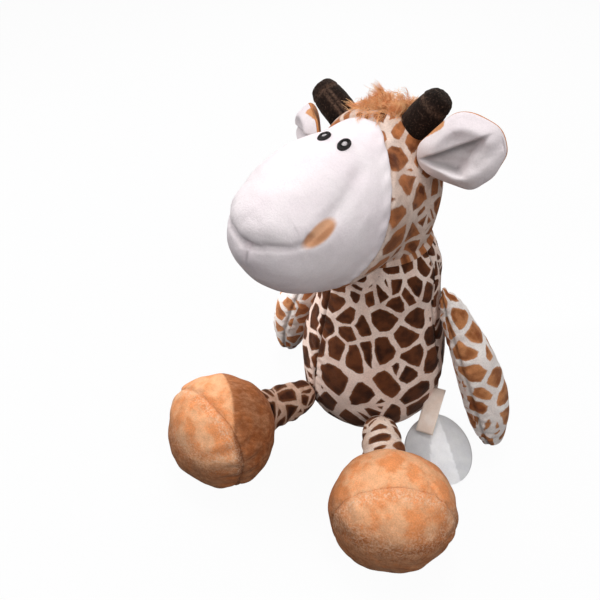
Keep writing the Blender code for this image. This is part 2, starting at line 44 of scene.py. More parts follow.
quarterTurn = math.pi / 2
seamGap = 0.0003
simulationFrames = 20
fillingPressure = 4.0
warmSheen = (1.0, 0.85, 0.72, 1.0)


def stage(words):
    print("giraffe:", words)


# places of vertices, as rows of x, y, z
def placesOf(piece):
    places = np.empty(len(piece.data.vertices) * 3)
    piece.data.vertices.foreach_get("co", places)
    return places.reshape(-1, 3)


def normalsOf(piece):
    normals = np.empty(len(piece.data.vertices) * 3)
    piece.data.vertex_normals.foreach_get("vector", normals)
    return normals.reshape(-1, 3)


def movePlaces(piece, places):
    piece.data.vertices.foreach_set("co", np.ascontiguousarray(places).ravel())
    piece.data.update()


def carried(places, matrix):
    return places @ np.array(matrix.to_3x3()).T + np.array(matrix.translation)


def turned(degrees, axis):
    return Matrix.Rotation(math.radians(degrees), 4, axis)


def carryPiece(piece, matrix):
    movePlaces(piece, carried(placesOf(piece), matrix))


def newPiece(name, form, finish=None):
    mesh = bpy.data.meshes.new(name)
    bmesh.ops.recalc_face_normals(form, faces=form.faces)
    form.to_mesh(mesh)
    form.free()
    piece = bpy.data.objects.new(name, mesh)
    bpy.context.scene.collection.objects.link(piece)
    if finish:
        mesh.materials.append(finish)
    mesh.shade_smooth()
    return piece


def formOf(piece):
    form = bmesh.new()
    form.from_mesh(piece.data)
    return form


# cut a form by a plane, drop what lies beyond it and close the cut
def cutForm(form, point, normal):
    geometry = form.verts[:] + form.edges[:] + form.faces[:]
    cut = bmesh.ops.bisect_plane(form, geom=geometry, plane_co=point, plane_no=normal, clear_outer=True)
    rim = [item for item in cut["geom_cut"] if isinstance(item, bmesh.types.BMEdge)]
    bmesh.ops.holes_fill(form, edges=rim, sides=0)
    return form


def applyModifiers(piece):
    worked = piece.evaluated_get(bpy.context.evaluated_depsgraph_get())
    mesh = bpy.data.meshes.new_from_object(worked)
    old = piece.data
    piece.modifiers.clear()
    piece.data = mesh
    bpy.data.meshes.remove(old)
    mesh.name = piece.name
    mesh.shade_smooth()


def subdivided(piece, levels):
    smoother = piece.modifiers.new("smoother", "SUBSURF")
    smoother.levels = levels
    smoother.render_levels = levels
    applyModifiers(piece)


def remeshed(piece, voxel):
    remesh = piece.modifiers.new("remesh", "REMESH")
    remesh.mode = "VOXEL"
    remesh.voxel_size = voxel
    remesh.use_smooth_shade = True
    applyModifiers(piece)


# the filling presses the cloth out between the seams that are held
def pressedOut(piece, cap, held):
    scene = bpy.context.scene
    start = placesOf(piece)
    pins = piece.vertex_groups.new(name="held")
    pins.add([int(index) for index in np.nonzero(held)[0]], 1.0, "REPLACE")
    cloth = piece.modifiers.new("filling", "CLOTH")
    cloth.settings.use_pressure = True
    cloth.settings.uniform_pressure_force = fillingPressure
    cloth.settings.effector_weights.gravity = 0
    cloth.settings.vertex_group_mass = "held"
    for number in range(1, simulationFrames + 1):
        scene.frame_set(number)
    worked = piece.evaluated_get(bpy.context.evaluated_depsgraph_get())
    pressed = np.empty(len(worked.data.vertices) * 3)
    worked.data.vertices.foreach_get("co", pressed)
    move = pressed.reshape(-1, 3) - start
    far = np.linalg.norm(move, axis=1, keepdims=True)
    piece.modifiers.clear()
    piece.vertex_groups.clear()
    movePlaces(piece, start + move * np.minimum(1, cap / np.maximum(far, 1e-9)))
    scene.frame_set(1)


# a soft random field of about unit strength, with swells of the given size
def lumps(places, size, seed, waves=16):
    draw = np.random.default_rng(seed)
    field = np.zeros(len(places))
    for _ in range(waves):
        heading = draw.normal(size=3)
        heading /= np.linalg.norm(heading)
        length = size * draw.uniform(0.7, 1.7)
        field += np.cos(places @ heading * (math.tau / length) + draw.uniform(0, math.tau))
    return field / math.sqrt(waves / 2)


# distance from a line of points, how far along it the nearest place is, and the line's whole run
def nearLine(places, line):
    line = np.array(line, dtype=float)
    best = np.full(len(places), 1e9)
    along = np.zeros(len(places))
    run = 0.0
    for start, end in zip(line, line[1:]):
        way = end - start
        length = np.linalg.norm(way)
        if length == 0:
            continue
        share = np.clip((places - start) @ way / length**2, 0, 1)
        far = np.linalg.norm(places - start - share[:, None] * way, axis=1)
        nearer = far < best
        best[nearer] = far[nearer]
        along[nearer] = run + share[nearer] * length
        run += length
    return best, along, run


# 1 at no distance, falling softly to nothing over the reach
def bump(far, reach):
    return np.exp(-((far / reach) ** 2))


# a sewn seam: a pinched groove, a little swell on both sides and puckers across it; the groove's share comes
# back too, for painted shade in the seam
def sewn(places, line, look, seed):
    far, along, run = nearLine(places, line)
    groove = bump(far, look["width"])
    swell = bump(far - look["reach"], look["reach"])
    draw = np.random.default_rng(seed)
    ripple = np.zeros(len(places))
    for _ in range(4):
        length = look["pucker"] * draw.uniform(0.6, 1.7)
        ripple += np.sin(along * (math.tau / length) + draw.uniform(0, math.tau))
    ripple /= 2
    ends = np.clip(np.minimum(along, run - along) / look["reach"], 0, 1) if look.get("fades") else 1.0
    lift = -look["depth"] * groove * (1 + 0.25 * ripple) + look["swell"] * swell * (1 - groove) * (1 + ripple)
    return lift * ends, groove * ends


# smooth share between stations, as (along, share) pairs
def shareAt(stations, along):
    last = len(stations) - 2
    index = max(0, min(last, sum(1 for station in stations[1:-1] if along > station[0])))
    (start, low), (end, high) = stations[index], stations[index + 1]
    before = stations[max(0, index - 1)]
    after = stations[min(len(stations) - 1, index + 2)]
    span = end - start
    slopeIn = (high - before[1]) / (end - before[0]) * span
    slopeOut = (after[1] - low) / (after[0] - start) * span
    t = (along - start) / span
    return (
        low * (2 * t**3 - 3 * t**2 + 1)
        + slopeIn * (t**3 - 2 * t**2 + t)
        + high * (3 * t**2 - 2 * t**3)
        + slopeOut * (t**3 - t**2)
    )


# a ball drawn out along +Z from its root, fuller at the ends as fullness drops below 1
def stuffedForm(look):
    form = bmesh.new()
    bmesh.ops.create_uvsphere(form, u_segments=look["segments"], v_segments=look["rings"], radius=1)
    for vert in form.verts:
        along = (1 + vert.co.z) / 2
        ring = min(1.0, math.hypot(vert.co.x, vert.co.y))
        fat = ring ** (look["fullness"] - 1) if ring > 0 else 0.0
        girth = fat * shareAt(look.get("shares", ((0.0, 1.0), (1.0, 1.0))), along)
        vert.co.x *= girth * look["halfWidth"]
        vert.co.x += look.get("bow", 0.0) * math.sin(math.pi * along)
        vert.co.y *= girth * look["halfDepth"]
        vert.co.z = along * look["length"]
    return form


def paintOf(red, green, blue):
    def linear(value):
        value /= 255
        return value / 12.92 if value <= 0.04045 else ((value + 0.055) / 1.055) ** 2.4

    return (linear(red), linear(green), linear(blue), 1.0)


# finishes
def addNode(tree, kind, sockets=None, **settings):
    made = tree.nodes.new(kind)
    for name, value in settings.items():
        setattr(made, name, value)
    for key, value in (sockets or {}).items():
        if isinstance(value, bpy.types.NodeSocket):
            tree.links.new(value, made.inputs[key])
        else:
            made.inputs[key].default_value = value
    return made


def maths(tree, operation, first, second=0.0, third=0.0):
    return addNode(tree, "ShaderNodeMath", {0: first, 1: second, 2: third}, operation=operation).outputs[0]


def mixed(tree, share, first, second, blend="MIX"):
    made = addNode(tree, "ShaderNodeMix", {0: share, 6: first, 7: second}, data_type="RGBA", blend_type=blend)
    return made.outputs[2]


def vectors(tree, operation, first, second, third=(0, 0, 0)):
    sockets = {0: first, 1: second, 2: third}
    return addNode(tree, "ShaderNodeVectorMath", sockets, operation=operation).outputs[0]


def between(tree, value, low, high, start=0.0, end=1.0):
    sockets = {"Value": value, "From Min": low, "From Max": high, "To Min": start, "To Max": end}
    return addNode(tree, "ShaderNodeMapRange", sockets, interpolation_type="SMOOTHSTEP").outputs[0]


# the value that marked() left on the piece
def markRead(tree, name):
    return addNode(tree, "ShaderNodeAttribute", attribute_name=name).outputs["Fac"]


def grain(tree, where, size, detail=3.0, rough=0.6, output="Fac"):
    sockets = {"Vector": where, "Scale": 1 / size, "Detail": detail, "Roughness": rough}
    return addNode(tree, "ShaderNodeTexNoise", sockets).outputs[output]


# two colours that drift into each other in soft clouds
def clouded(tree, where, size, light, shade):
    clouds = grain(tree, where, size, 2, 0.5)
    return mixed(tree, between(tree, clouds, 0.3, 0.7), light, shade)


# place, turn and size of a pattern on a piece
def patternPlace(tree, where, place, turn=(0, 0, 0), size=(1, 1, 1)):
    sockets = {"Vector": where, "Location": place, "Rotation": turn, "Scale": size}
    return addNode(tree, "ShaderNodeMapping", sockets, vector_type="TEXTURE").outputs[0]


def insideOval(tree, where, place, turn, size, soft=0.35):
    local = patternPlace(tree, where, place, turn, size)
    far = addNode(tree, "ShaderNodeVectorMath", {0: local}, operation="LENGTH").outputs["Value"]
    return between(tree, far, 1 - soft, 1 + soft, 1.0, 0.0)


def clothFinish(name, look, paint):
    material = bpy.data.materials.new(name)
    material.use_nodes = True
    tree = material.node_tree
    shader = tree.nodes["Principled BSDF"]
    shader.inputs["Roughness"].default_value = look["roughness"]
    shader.inputs["Specular IOR Level"].default_value = look["gloss"]
    shader.inputs["Sheen Weight"].default_value = look["sheen"]
    shader.inputs["Sheen Roughness"].default_value = look["sheenRoughness"]
    shader.inputs["Sheen Tint"].default_value = look["sheenTint"]
    where = addNode(tree, "ShaderNodeTexCoord").outputs["Object"]
    colour = paint(tree, where)
    nap = grain(tree, where, look["nap"], 4, 0.65)
    tufts = grain(tree, where, look["tufts"], 2, 0.5)
    shade = between(tree, nap, 0.3, 0.7, 1 - look["napShade"], 1 + look["napShade"] * 0.4)
    shade = maths(tree, "MULTIPLY", shade, between(tree, tufts, 0.3, 0.7, 1 - look["tuftShade"], 1.0))
    # painted shade: darker where a piece marks seam grooves, creases, the ear's pocket and the label's bent
    # sides
    paintedShade = markRead(tree, "paintedShade")
    shade = maths(tree, "MULTIPLY", shade, maths(tree, "MULTIPLY_ADD", paintedShade, -look["seamShade"], 1.0))
    shadeColour = addNode(tree, "ShaderNodeCombineColor", {0: shade, 1: shade, 2: shade}).outputs[0]
    tree.links.new(mixed(tree, 1.0, colour, shadeColour, "MULTIPLY"), shader.inputs["Base Color"])
    napLift = maths(tree, "MULTIPLY", nap, look["napHeight"])
    height = maths(tree, "MULTIPLY_ADD", tufts, look["tuftHeight"], napLift)
    sockets = {"Height": height, "Strength": 1.0, "Distance": 1.0}
    tree.links.new(addNode(tree, "ShaderNodeBump", sockets).outputs[0], shader.inputs["Normal"])
    return material


def pileLook(**changes):
    look = {
        "roughness": 0.9,
        "gloss": 0.15,
        "sheen": 0.25,
        "sheenRoughness": 0.45,
        "sheenTint": (1.0, 1.0, 1.0, 1.0),
        "nap": 0.0007,
        "napShade": 0.16,
        "napHeight": 0.00022,
        "tufts": 0.004,
        "tuftShade": 0.06,
        "tuftHeight": 0.0003,
        # how strongly painted shade darkens the marked seams, creases and hollows
        "seamShade": 0.40,
    }
    look.update(changes)
    return look


# the print: many-sided dark patches with pale channels, some of them split into small ones
def patches(tree, where, look):
    # the cells wander widely and their edges are ruffled finely
    place = where
    wide = (look["wander"], look["wanderSize"], 0.5)
    fine = (look["fuzz"], look["fuzzSize"], 0.6)
    for strength, size, rough in (wide, fine):
        centred = vectors(tree, "SUBTRACT", grain(tree, where, size, 2, rough, "Color"), (0.5, 0.5, 0.5))
        place = vectors(tree, "MULTIPLY_ADD", centred, (strength,) * 3, place)
    shifted = vectors(tree, "ADD", place, (0.137, 0.071, 0.05))

    def cells(size, feature, at):
        sockets = {"Vector": at, "Scale": 1 / size, "Randomness": look["unevenness"]}
        return addNode(tree, "ShaderNodeTexVoronoi", sockets, voronoi_dimensions="2D", feature=feature)

    # value rises from the channel into the patch; corners far from the patch's middle are rounded off
    def patchValue(size, shrink, at):
        edge = cells(size, "DISTANCE_TO_EDGE", at).outputs["Distance"]
        near = cells(size, "F1", at)
        corner = maths(tree, "SUBTRACT", near.outputs["Distance"], look["cornerFrom"])
        corner = maths(tree, "MAXIMUM", corner, 0.0)
        value = maths(tree, "MULTIPLY_ADD", corner, -look["rounding"], edge)
        tone = addNode(tree, "ShaderNodeSeparateColor", {0: near.outputs["Color"]})
        value = maths(tree, "MULTIPLY_ADD", between(tree, tone.outputs[2], 0.5, 1.0), -shrink, value)
        return maths(tree, "MULTIPLY", value, size), tone

    half, soft, size = look["channel"] / 2, look["soft"], look["cell"]
    bigValue, tone = patchValue(size, look["shrink"], place)
    smallValue, _ = patchValue(size * look["smallShare"], 0.0, shifted)
    whole = maths(tree, "LESS_THAN", tone.outputs[0], 1 - look["splitShare"])
    value = maths(tree, "MINIMUM", bigValue, maths(tree, "MULTIPLY_ADD", whole, 1.0, smallValue))
    patch = between(tree, value, half - soft, half + soft)
    cloudy = grain(tree, where, look["cell"] * 0.6, 2, 0.5)
    warmth = maths(tree, "MULTIPLY_ADD", tone.outputs[1], 0.5, between(tree, cloudy, 0.35, 0.65, -0.1, 0.6))
    dark = mixed(tree, warmth, look["dark"], look["warm"])
    rim = between(tree, value, half + soft, half + look["rim"], look["rimShare"], 0.0)
    dark = mixed(tree, rim, dark, look["rimColour"])
    ground = mixed(tree, between(tree, cloudy, 0.3, 0.7), look["ground"], look["groundShade"])
    return mixed(tree, patch, ground, dark)


def printFinish(name, look, pile):
    def paint(tree, where):
        return patches(tree, addNode(tree, "ShaderNodeUVMap", uv_map="cloth").outputs[0], look)

    return clothFinish(name, pile, paint)


def printLook(**changes):
    look = {
        "cell": 0.0170,
        "channel": 0.0018,
        "soft": 0.0004,
        "unevenness": 1.0,
        "wanderSize": 0.012,
        "wander": 0.0040,
        "fuzzSize": 0.0012,
        "fuzz": 0.0007,
        "smallShare": 1.15,
        "splitShare": 0.36,
        "cornerFrom": 0.34,
        "rounding": 0.26,
        "shrink": 0.05,
        "dark": paintOf(52, 25, 14),
        "warm": paintOf(108, 60, 34),
        "rim": 0.0018,
        "rimShare": 0.30,
        "rimColour": paintOf(164, 104, 66),
        "ground": paintOf(250, 228, 216),
        "groundShade": paintOf(238, 210, 196),
    }
    look.update(changes)
    return look


# lay the print on a piece: one flat place in metres for each corner of each face
def layCloth(piece, flatPlaces):
    mesh = piece.data
    loops = np.empty(len(mesh.loops), dtype=np.int32)
    mesh.loops.foreach_get("vertex_index", loops)
    sizes = np.empty(len(mesh.polygons), dtype=np.int32)
    mesh.polygons.foreach_get("loop_total", sizes)
    centres = np.empty(len(mesh.polygons) * 3)
    mesh.polygons.foreach_get("center", centres)
    ofFace = np.repeat(centres.reshape(-1, 3), sizes, axis=0)
    flat = flatPlaces(placesOf(piece)[loops], ofFace)
    layer = mesh.uv_layers.new(name="cloth")
    layer.data.foreach_set("uv", np.ascontiguousarray(flat).ravel())


# a value for each vertex, that a finish reads by its name
def marked(piece, name, values):
    layer = piece.data.attributes.new(name, "FLOAT", "POINT")
    layer.data.foreach_set("value", np.ascontiguousarray(values, dtype=np.float32))


# camera, floor and light
cameraSet = {
    "place": (0.1004, -0.2667, 0.3171),
    "target": (-0.0505, 0.0, 0.0600),
    "lens": 39.0,
    "sensor": 36.0,
}
floorSet = {"size": 6.0, "colour": (0.13, 0.13, 0.135, 1.0), "glow": 0.80, "glowStrength": 1.20}
worldSet = {"light": 0.14, "seen": 1.0}
white = (1, 1, 1, 1)
lampSet = (
    # name, place, aimed at, size, power
    ("topLamp", (-0.06, 0.04, 1.00), (0.0, -0.02, 0.06), 0.35, 3.7),
    ("backLamp", (-0.30, 0.65, 0.55), (0.0, 0.02, 0.08), 0.60, 2.6),
    ("leftLamp", (0.58, -0.30, 0.62), (0.02, -0.02, 0.06), 0.50, 2.5),
    ("rightLamp", (-0.62, -0.08, 0.58), (-0.02, -0.02, 0.06), 0.50, 2.4),
    ("frontLamp", (-0.10, -0.75, 0.70), (0.0, 0.0, 0.06), 0.60, 1.6),
)
# a narrow lamp that fills the shadow in which the head leaves the right arm
armLamp = {
    "place": (-0.52, -0.42, 0.46),
    "target": (-0.064, 0.004, 0.086),
    "cone": 12.0,
    "radius": 0.04,
    "power": 26.0,
}


# stand a camera or a lamp at its place, looking at its target
def stood(name, data, place, target):
    holder = bpy.data.objects.new(name, data)
    holder.location = place
    holder.rotation_euler = (Vector(target) - Vector(place)).to_track_quat("-Z", "Y").to_euler()
    bpy.context.scene.collection.objects.link(holder)
    return holder


def makeStudio():
    scene = bpy.context.scene
    scene.view_settings.view_transform = "Standard"
    camera = bpy.data.cameras.new("camera")
    camera.lens = cameraSet["lens"]
    camera.sensor_width = cameraSet["sensor"]
    camera.clip_start = 0.01
    scene.camera = stood("camera", camera, cameraSet["place"], cameraSet["target"])
    for name, place, target, size, power in lampSet:
        lamp = bpy.data.lights.new(name, "AREA")
        lamp.shape = "DISK"
        lamp.size = size
        lamp.energy = power
        stood(name, lamp, place, target)
    lamp = bpy.data.lights.new("armLamp", "SPOT")
    lamp.spot_size = math.radians(armLamp["cone"])
    lamp.spot_blend = 1.0
    lamp.shadow_soft_size = armLamp["radius"]
    lamp.energy = armLamp["power"]
    stood("armLamp", lamp, armLamp["place"], armLamp["target"])

    world = bpy.data.worlds.new("studio")
    scene.world = world
    world.use_nodes = True
    tree = world.node_tree
    soft = tree.nodes["Background"]
    soft.inputs["Color"].default_value = white
    soft.inputs["Strength"].default_value = worldSet["light"]
    seen = addNode(tree, "ShaderNodeBackground", {"Color": white, "Strength": worldSet["seen"]})
    ray = addNode(tree, "ShaderNodeLightPath")
    sockets = {0: ray.outputs["Is Camera Ray"], 1: soft.outputs[0], 2: seen.outputs[0]}
    chosen = addNode(tree, "ShaderNodeMixShader", sockets)
    tree.links.new(chosen.outputs[0], tree.nodes["World Output"].inputs["Surface"])

    form = bmesh.new()
    bmesh.ops.create_grid(form, x_segments=1, y_segments=1, size=floorSet["size"] / 2)
    floor = newPiece("floor", form)
    material = bpy.data.materials.new("paleFloor")
    material.use_nodes = True
    tree = material.node_tree
    shader = tree.nodes["Principled BSDF"]
    shader.inputs["Base Color"].default_value = floorSet["colour"]
    shader.inputs["Roughness"].default_value = 0.9
    shader.inputs["Specular IOR Level"].default_value = 0.0
    glow = addNode(tree, "ShaderNodeEmission", {"Color": white, "Strength": floorSet["glowStrength"]})
    ray = addNode(tree, "ShaderNodeLightPath")
    share = maths(tree, "MULTIPLY", ray.outputs["Is Camera Ray"], floorSet["glow"])
    mix = addNode(tree, "ShaderNodeMixShader", {0: share, 1: shader.outputs[0], 2: glow.outputs[0]})
    tree.links.new(mix.outputs[0], tree.nodes["Material Output"].inputs["Surface"])
    floor.data.materials.append(material)


makeStudio()
stage("studio ready")

# torso: a pear with a flat seat and a ball for a neck
torso = {
    "bellyRadius": 0.0425,
    "bellyHeight": 0.0410,
    "bellyFullness": 2.7,
    "neckRadius": 0.0328,
    "pivotHeight": 0.1050,
    "seatDrop": 0.0005,
    "segments": 44,
    "seatRings": 9,
    "flankRings": 9,
    "neckRings": 7,
    "frontSeamTurn": -30.0,
    "leftSeamTurn": 84.0,
    "rightSeamTurn": -116.0,
    "seam": {"depth": 0.0011, "width": 0.0011, "reach": 0.0042, "swell": 0.00035, "pucker": 0.0075},
    "sideSeam": {"depth": 0.0008, "width": 0.0011, "reach": 0.0040, "swell": 0.00030, "pucker": 0.0085},
    "pleats": {"height": 0.110, "reach": 0.012, "swell": 0.00045, "drawnIn": 0.0004},
    "pressed": 0.0012,
}


def bellyRadiusAt(height):
    if height < torso["bellyHeight"]:
        down = (torso["bellyHeight"] - height) / (torso["bellyHeight"] + torso["seatDrop"])
        fullness = torso["bellyFullness"]
        return torso["bellyRadius"] * max(0.0, 1 - down**fullness) ** (1 / fullness)
    if height > torso["pivotHeight"]:
        rise = height - torso["pivotHeight"]
        return math.sqrt(max(0.0, torso["neckRadius"] ** 2 - rise**2))
    up = (height - torso["bellyHeight"]) / (torso["pivotHeight"] - torso["bellyHeight"])
    narrowing = torso["neckRadius"] - torso["bellyRadius"]
    return torso["bellyRadius"] + narrowing * (1 - math.cos(math.pi * up)) / 2


def torsoForm():
    profile = [Vector((0, 0, -torso["seatDrop"]))]
    seatDrop = torso["bellyHeight"] + torso["seatDrop"]
    for step in range(1, torso["seatRings"] + 1):
        turn = quarterTurn * step / torso["seatRings"]
        height = torso["bellyHeight"] - seatDrop * math.cos(turn) ** (2 / torso["bellyFullness"])
        radius = torso["bellyRadius"] * math.sin(turn) ** (2 / torso["bellyFullness"])
        profile.append(Vector((radius, 0, height)))
    for step in range(1, torso["flankRings"] + 1):
        climb = torso["pivotHeight"] - torso["bellyHeight"]
        height = torso["bellyHeight"] + climb * step / torso["flankRings"]
        profile.append(Vector((bellyRadiusAt(height), 0, height)))
    for step in range(1, torso["neckRings"] + 1):
        turn = quarterTurn * step / torso["neckRings"]
        height = torso["pivotHeight"] + torso["neckRadius"] * math.sin(turn)
        profile.append(Vector((torso["neckRadius"] * math.cos(turn), 0, height)))
    profile[-1].x = 0
    form = bmesh.new()
    points = [form.verts.new(point) for point in profile]
    edges = [form.edges.new(pair) for pair in zip(points, points[1:])]
    bmesh.ops.spin(
        form,
        geom=points + edges,
        axis=(0, 0, 1),
        cent=(0, 0, 0),
        angle=math.tau,
        steps=torso["segments"],
        use_merge=True,
    )
    bmesh.ops.remove_doubles(form, verts=form.verts, dist=0.00003)
    return form


# a line down the torso at a turn from the front, towards its left
def torsoLine(turn, low=0.002, high=0.125, sway=0.0, steps=40):
    line = []
    for step in range(steps + 1):
        height = low + (high - low) * step / steps
        angle = math.radians(turn + sway * math.sin(step / steps * math.tau))
        radius = bellyRadiusAt(height)
        line.append((radius * math.sin(angle), -radius * math.cos(angle), height))
    return line


def torsoFlat(places, ofFace):
    front, left, right = torso["frontSeamTurn"], torso["leftSeamTurn"], torso["rightSeamTurn"]
    faceTurn = np.degrees(np.arctan2(ofFace[:, 0], -ofFace[:, 1]))
    turn = np.degrees(np.arctan2(places[:, 0], -places[:, 1]))
    inLeft = (faceTurn > front) & (faceTurn <= left)
    inRight = (faceTurn > right) & (faceTurn <= front)
    middle = np.where(inRight, (front + right) / 2, (left + right) / 2 + 180)
    middle = np.where(inLeft, (front + left) / 2, middle)
    offset = np.where(inLeft, 0.0, np.where(inRight, 0.31, 0.67))
    away = (turn - middle + 180) % 360 - 180
    heights = np.linspace(-0.01, 0.15, 161)
    growth = np.interp(heights, (0.0, 0.045, 0.075, 0.115), (1.0, 1.0, 1.18, 1.55))
    climb = np.concatenate(([0], np.cumsum((growth[1:] + growth[:-1]) / 2 * np.diff(heights))))
    height = places[:, 2]
    across = np.radians(away) * torso["bellyRadius"] * (0.55 + 0.45 * np.interp(height, heights, growth))
    return np.stack([across + offset, np.interp(height, heights, climb)], axis=1)


def makeTorso():
    piece = newPiece("torsoSkin", torsoForm())
    seams = {
        "front": torsoLine(torso["frontSeamTurn"], sway=1.5),
        "left": torsoLine(torso["leftSeamTurn"], sway=2.5),
        "right": torsoLine(torso["rightSeamTurn"], sway=2.0),
    }
    cage = placesOf(piece)
    held = (cage[:, 2] < 0.003) | (cage[:, 2] > 0.120)
    for line in seams.values():
        held |= nearLine(cage, line)[0] < 0.0036
    pressedOut(piece, torso["pressed"], held)
    subdivided(piece, 3)
    places, normals = placesOf(piece), normalsOf(piece)
    lift = 0.00035 * lumps(places, 0.030, 3) + 0.00010 * lumps(places, 0.009, 4)
    paintedShade = np.zeros(len(places))
    for number, (name, line) in enumerate(seams.items()):
        look = torso["seam"] if name == "front" else torso["sideSeam"]
        change, groove = sewn(places, line, look, 20 + number)
        lift += change
        paintedShade = np.maximum(paintedShade, groove)
    # pleats under the chin, where the neck is gathered into the head
    turn = np.arctan2(places[:, 0], -places[:, 1])
    look = torso["pleats"]
    pleatShare = bump(places[:, 2] - look["height"], look["reach"])
    pleats = np.sin(13 * turn + 120 * places[:, 2]) + 0.6 * np.sin(21 * turn - 1.3 + 60 * places[:, 2])
    lift += look["swell"] * pleatShare * pleats - look["drawnIn"] * pleatShare
    places = places + normals * lift[:, None]
    places[:, 2] = np.maximum(places[:, 2], 0.0)
    centre = np.array((0, 0, torso["pivotHeight"]))
    away = np.linalg.norm(places - centre, axis=1)
    above = (places[:, 2] > torso["pivotHeight"]) & (away > torso["neckRadius"])
    scale = np.where(above, torso["neckRadius"] / np.maximum(away, 1e-9), 1.0)
    places = centre + (places - centre) * scale[:, None]
    movePlaces(piece, places)
    layCloth(piece, torsoFlat)
    # painted shade along the seams
    marked(piece, "paintedShade", paintedShade)
    piece.data.materials.append(
        printFinish("bellyPrint", printLook(), pileLook(sheen=0.10, sheenTint=warmSheen))
    )
    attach(piece, "body")
    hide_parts("torso_front_left", "torso_front_right", "torso_back", "torso_stuffing", "pellet_bag")


makeTorso()
stage("torso sewn")

# head: a barrel over the neck and a long snout in front
head = {
    "turn": -8.0,
    "tilt": -8.0,
    "lift": 10.0,
    "voxel": 0.0050,
    "levels": 3,
    "socketRadius": 0.0334,
    "barrel": {
        "length": 0.0780,
        "halfWidth": 0.0315,
        "halfDepth": 0.0320,
        "fullness": 0.62,
        "segments": 56,
        "rings": 32,
    },
    "barrelForward": 0.0080,
    "barrelBottom": 0.1120,
    "snout": {
        "length": 0.1160,
        "halfWidth": 0.0330,
        "halfDepth": 0.0350,
        "fullness": 0.80,
        "shares": ((0.0, 0.94), (0.3, 1.0), (0.62, 1.0), (0.85, 0.97), (1.0, 0.96)),
        "segments": 56,
        "rings": 32,
    },
    "snoutBack": 0.0120,
    "snoutHeight": 0.1500,
    "roll": 10.0,
    "faceSeamGap": 0.0001,
    "faceSeamHeights": (0.100, 0.1314, 0.1427, 0.1613, 0.1717, 0.1775, 0.1822, 0.187, 0.200),
    "faceSeamForward": (0.0685, 0.0591, 0.0540, 0.0486, 0.0412, 0.0345, 0.0275, 0.0235, 0.0190),
    "faceSeam": {
        "depth": 0.0005,
        "width": 0.0008,
        "swell": 0.00030,
        "swellAway": 0.0035,
        "swellReach": 0.003,
    },
    "mouth": {"depth": 0.0014, "width": 0.0014, "reach": 0.0050, "swell": 0.00030, "pucker": 0.0200},
    "valley": {
        "depth": 0.0013,
        "width": 0.0036,
        "reach": 0.0080,
        "swell": 0.00020,
        "pucker": 0.0200,
        "fades": True,
    },
    # aside and up from the snout's axis, and forward of the middle; the far side rises less
    "mouthPoints": ((0.0, 0.0010), (0.0045, 0.0020), (0.0090, 0.0036), (0.0150, 0.0042), (0.0190, 0.0062)),
    "mouthForward": (0.1036, 0.1032, 0.1020, 0.0985, 0.0935),
    "cheekPoints": ((0.0200, 0.0085), (0.0224, 0.0159), (0.0215, 0.0205), (0.0195, 0.0255), (0.0164, 0.0295)),
    "cheekForward": (0.0915, 0.0799, 0.0731, 0.0646, 0.0533),
    "farRise": 0.45,
    # how far the tip reaches back, the swell of lip and chin on it, and the crease down the chin
    "tipFrom": 0.078,
    "tipRun": 0.02,
    "lip": {"swell": 0.0012, "up": 0.0105, "reach": 0.0060},
    "chin": {"swell": 0.0006, "up": -0.0060, "reach": 0.0055},
    "chinCrease": {"depth": 0.0010, "width": 0.0011, "up": -0.0035, "reach": 0.0050},
    "pressed": 0.0010,
    "clothThickness": 0.0004,
}


def headPose():
    pivot = Matrix.Translation((0, 0, torso["pivotHeight"]))
    turn = turned(head["turn"], "Z")
    tilt = turned(head["tilt"], "Y")
    lift = turned(-head["lift"], "X")
    return pivot @ turn @ tilt @ lift @ pivot.inverted()


# from the upright snout to the rolled one, about the snout's own axis
def faceRoll():
    axis = Matrix.Translation((0, 0, head["snoutHeight"]))
    return axis @ turned(head["roll"], "Y") @ axis.inverted()


def faceSeamAt(height):
    heights = np.linspace(0.09, 0.21, 241)
    forward = np.interp(heights, head["faceSeamHeights"], head["faceSeamForward"])
    soft = np.exp(-((np.arange(-14, 15) / 7.0) ** 2))
    forward = np.convolve(np.pad(forward, 14, mode="edge"), soft / soft.sum(), mode="valid")
    return np.interp(height, heights, forward)


def headForm():
    form = bmesh.new()
    barrel = stuffedForm(head["barrel"])
    bmesh.ops.translate(barrel, verts=barrel.verts, vec=(0, -head["barrelForward"], head["barrelBottom"]))
    snout = stuffedForm(head["snout"])
    lay = Matrix.Translation((0, head["snoutBack"], head["snoutHeight"]))
    lay = lay @ Matrix.Rotation(quarterTurn, 4, "X")
    bmesh.ops.transform(snout, matrix=lay, verts=snout.verts)
    for part in (barrel, snout):
        mesh = bpy.data.meshes.new("part")
        part.to_mesh(mesh)
        part.free()
        form.from_mesh(mesh)
        bpy.data.meshes.remove(mesh)
    return form


def faceLine(points, forwards, side):
    line = []
    for (aside, up), forward in zip(points, forwards):
        line.append(tuple(faceRoll() @ Vector((side * aside, -forward, head["snoutHeight"] + up))))
    return line


def smoothLine(line, times=3):
    line = [Vector(point) for point in line]
    for _ in range(times):
        cut = [line[0]]
        for first, second in zip(line, line[1:]):
            cut += [first.lerp(second, 0.25), first.lerp(second, 0.75)]
        line = cut + [line[-1]]
    return [tuple(point) for point in line]


def smoothLine2(line):
    return [(x, z) for x, z, _ in smoothLine([(x, z, 0.0) for x, z in line], 2)]


# put a line of points on the nearest skin
def onSkin(line, places):
    snapped = []
    for point in line:
        nearest = np.argmin(np.linalg.norm(places - np.array(point), axis=1))
        snapped.append(tuple(places[nearest]))
    return snapped


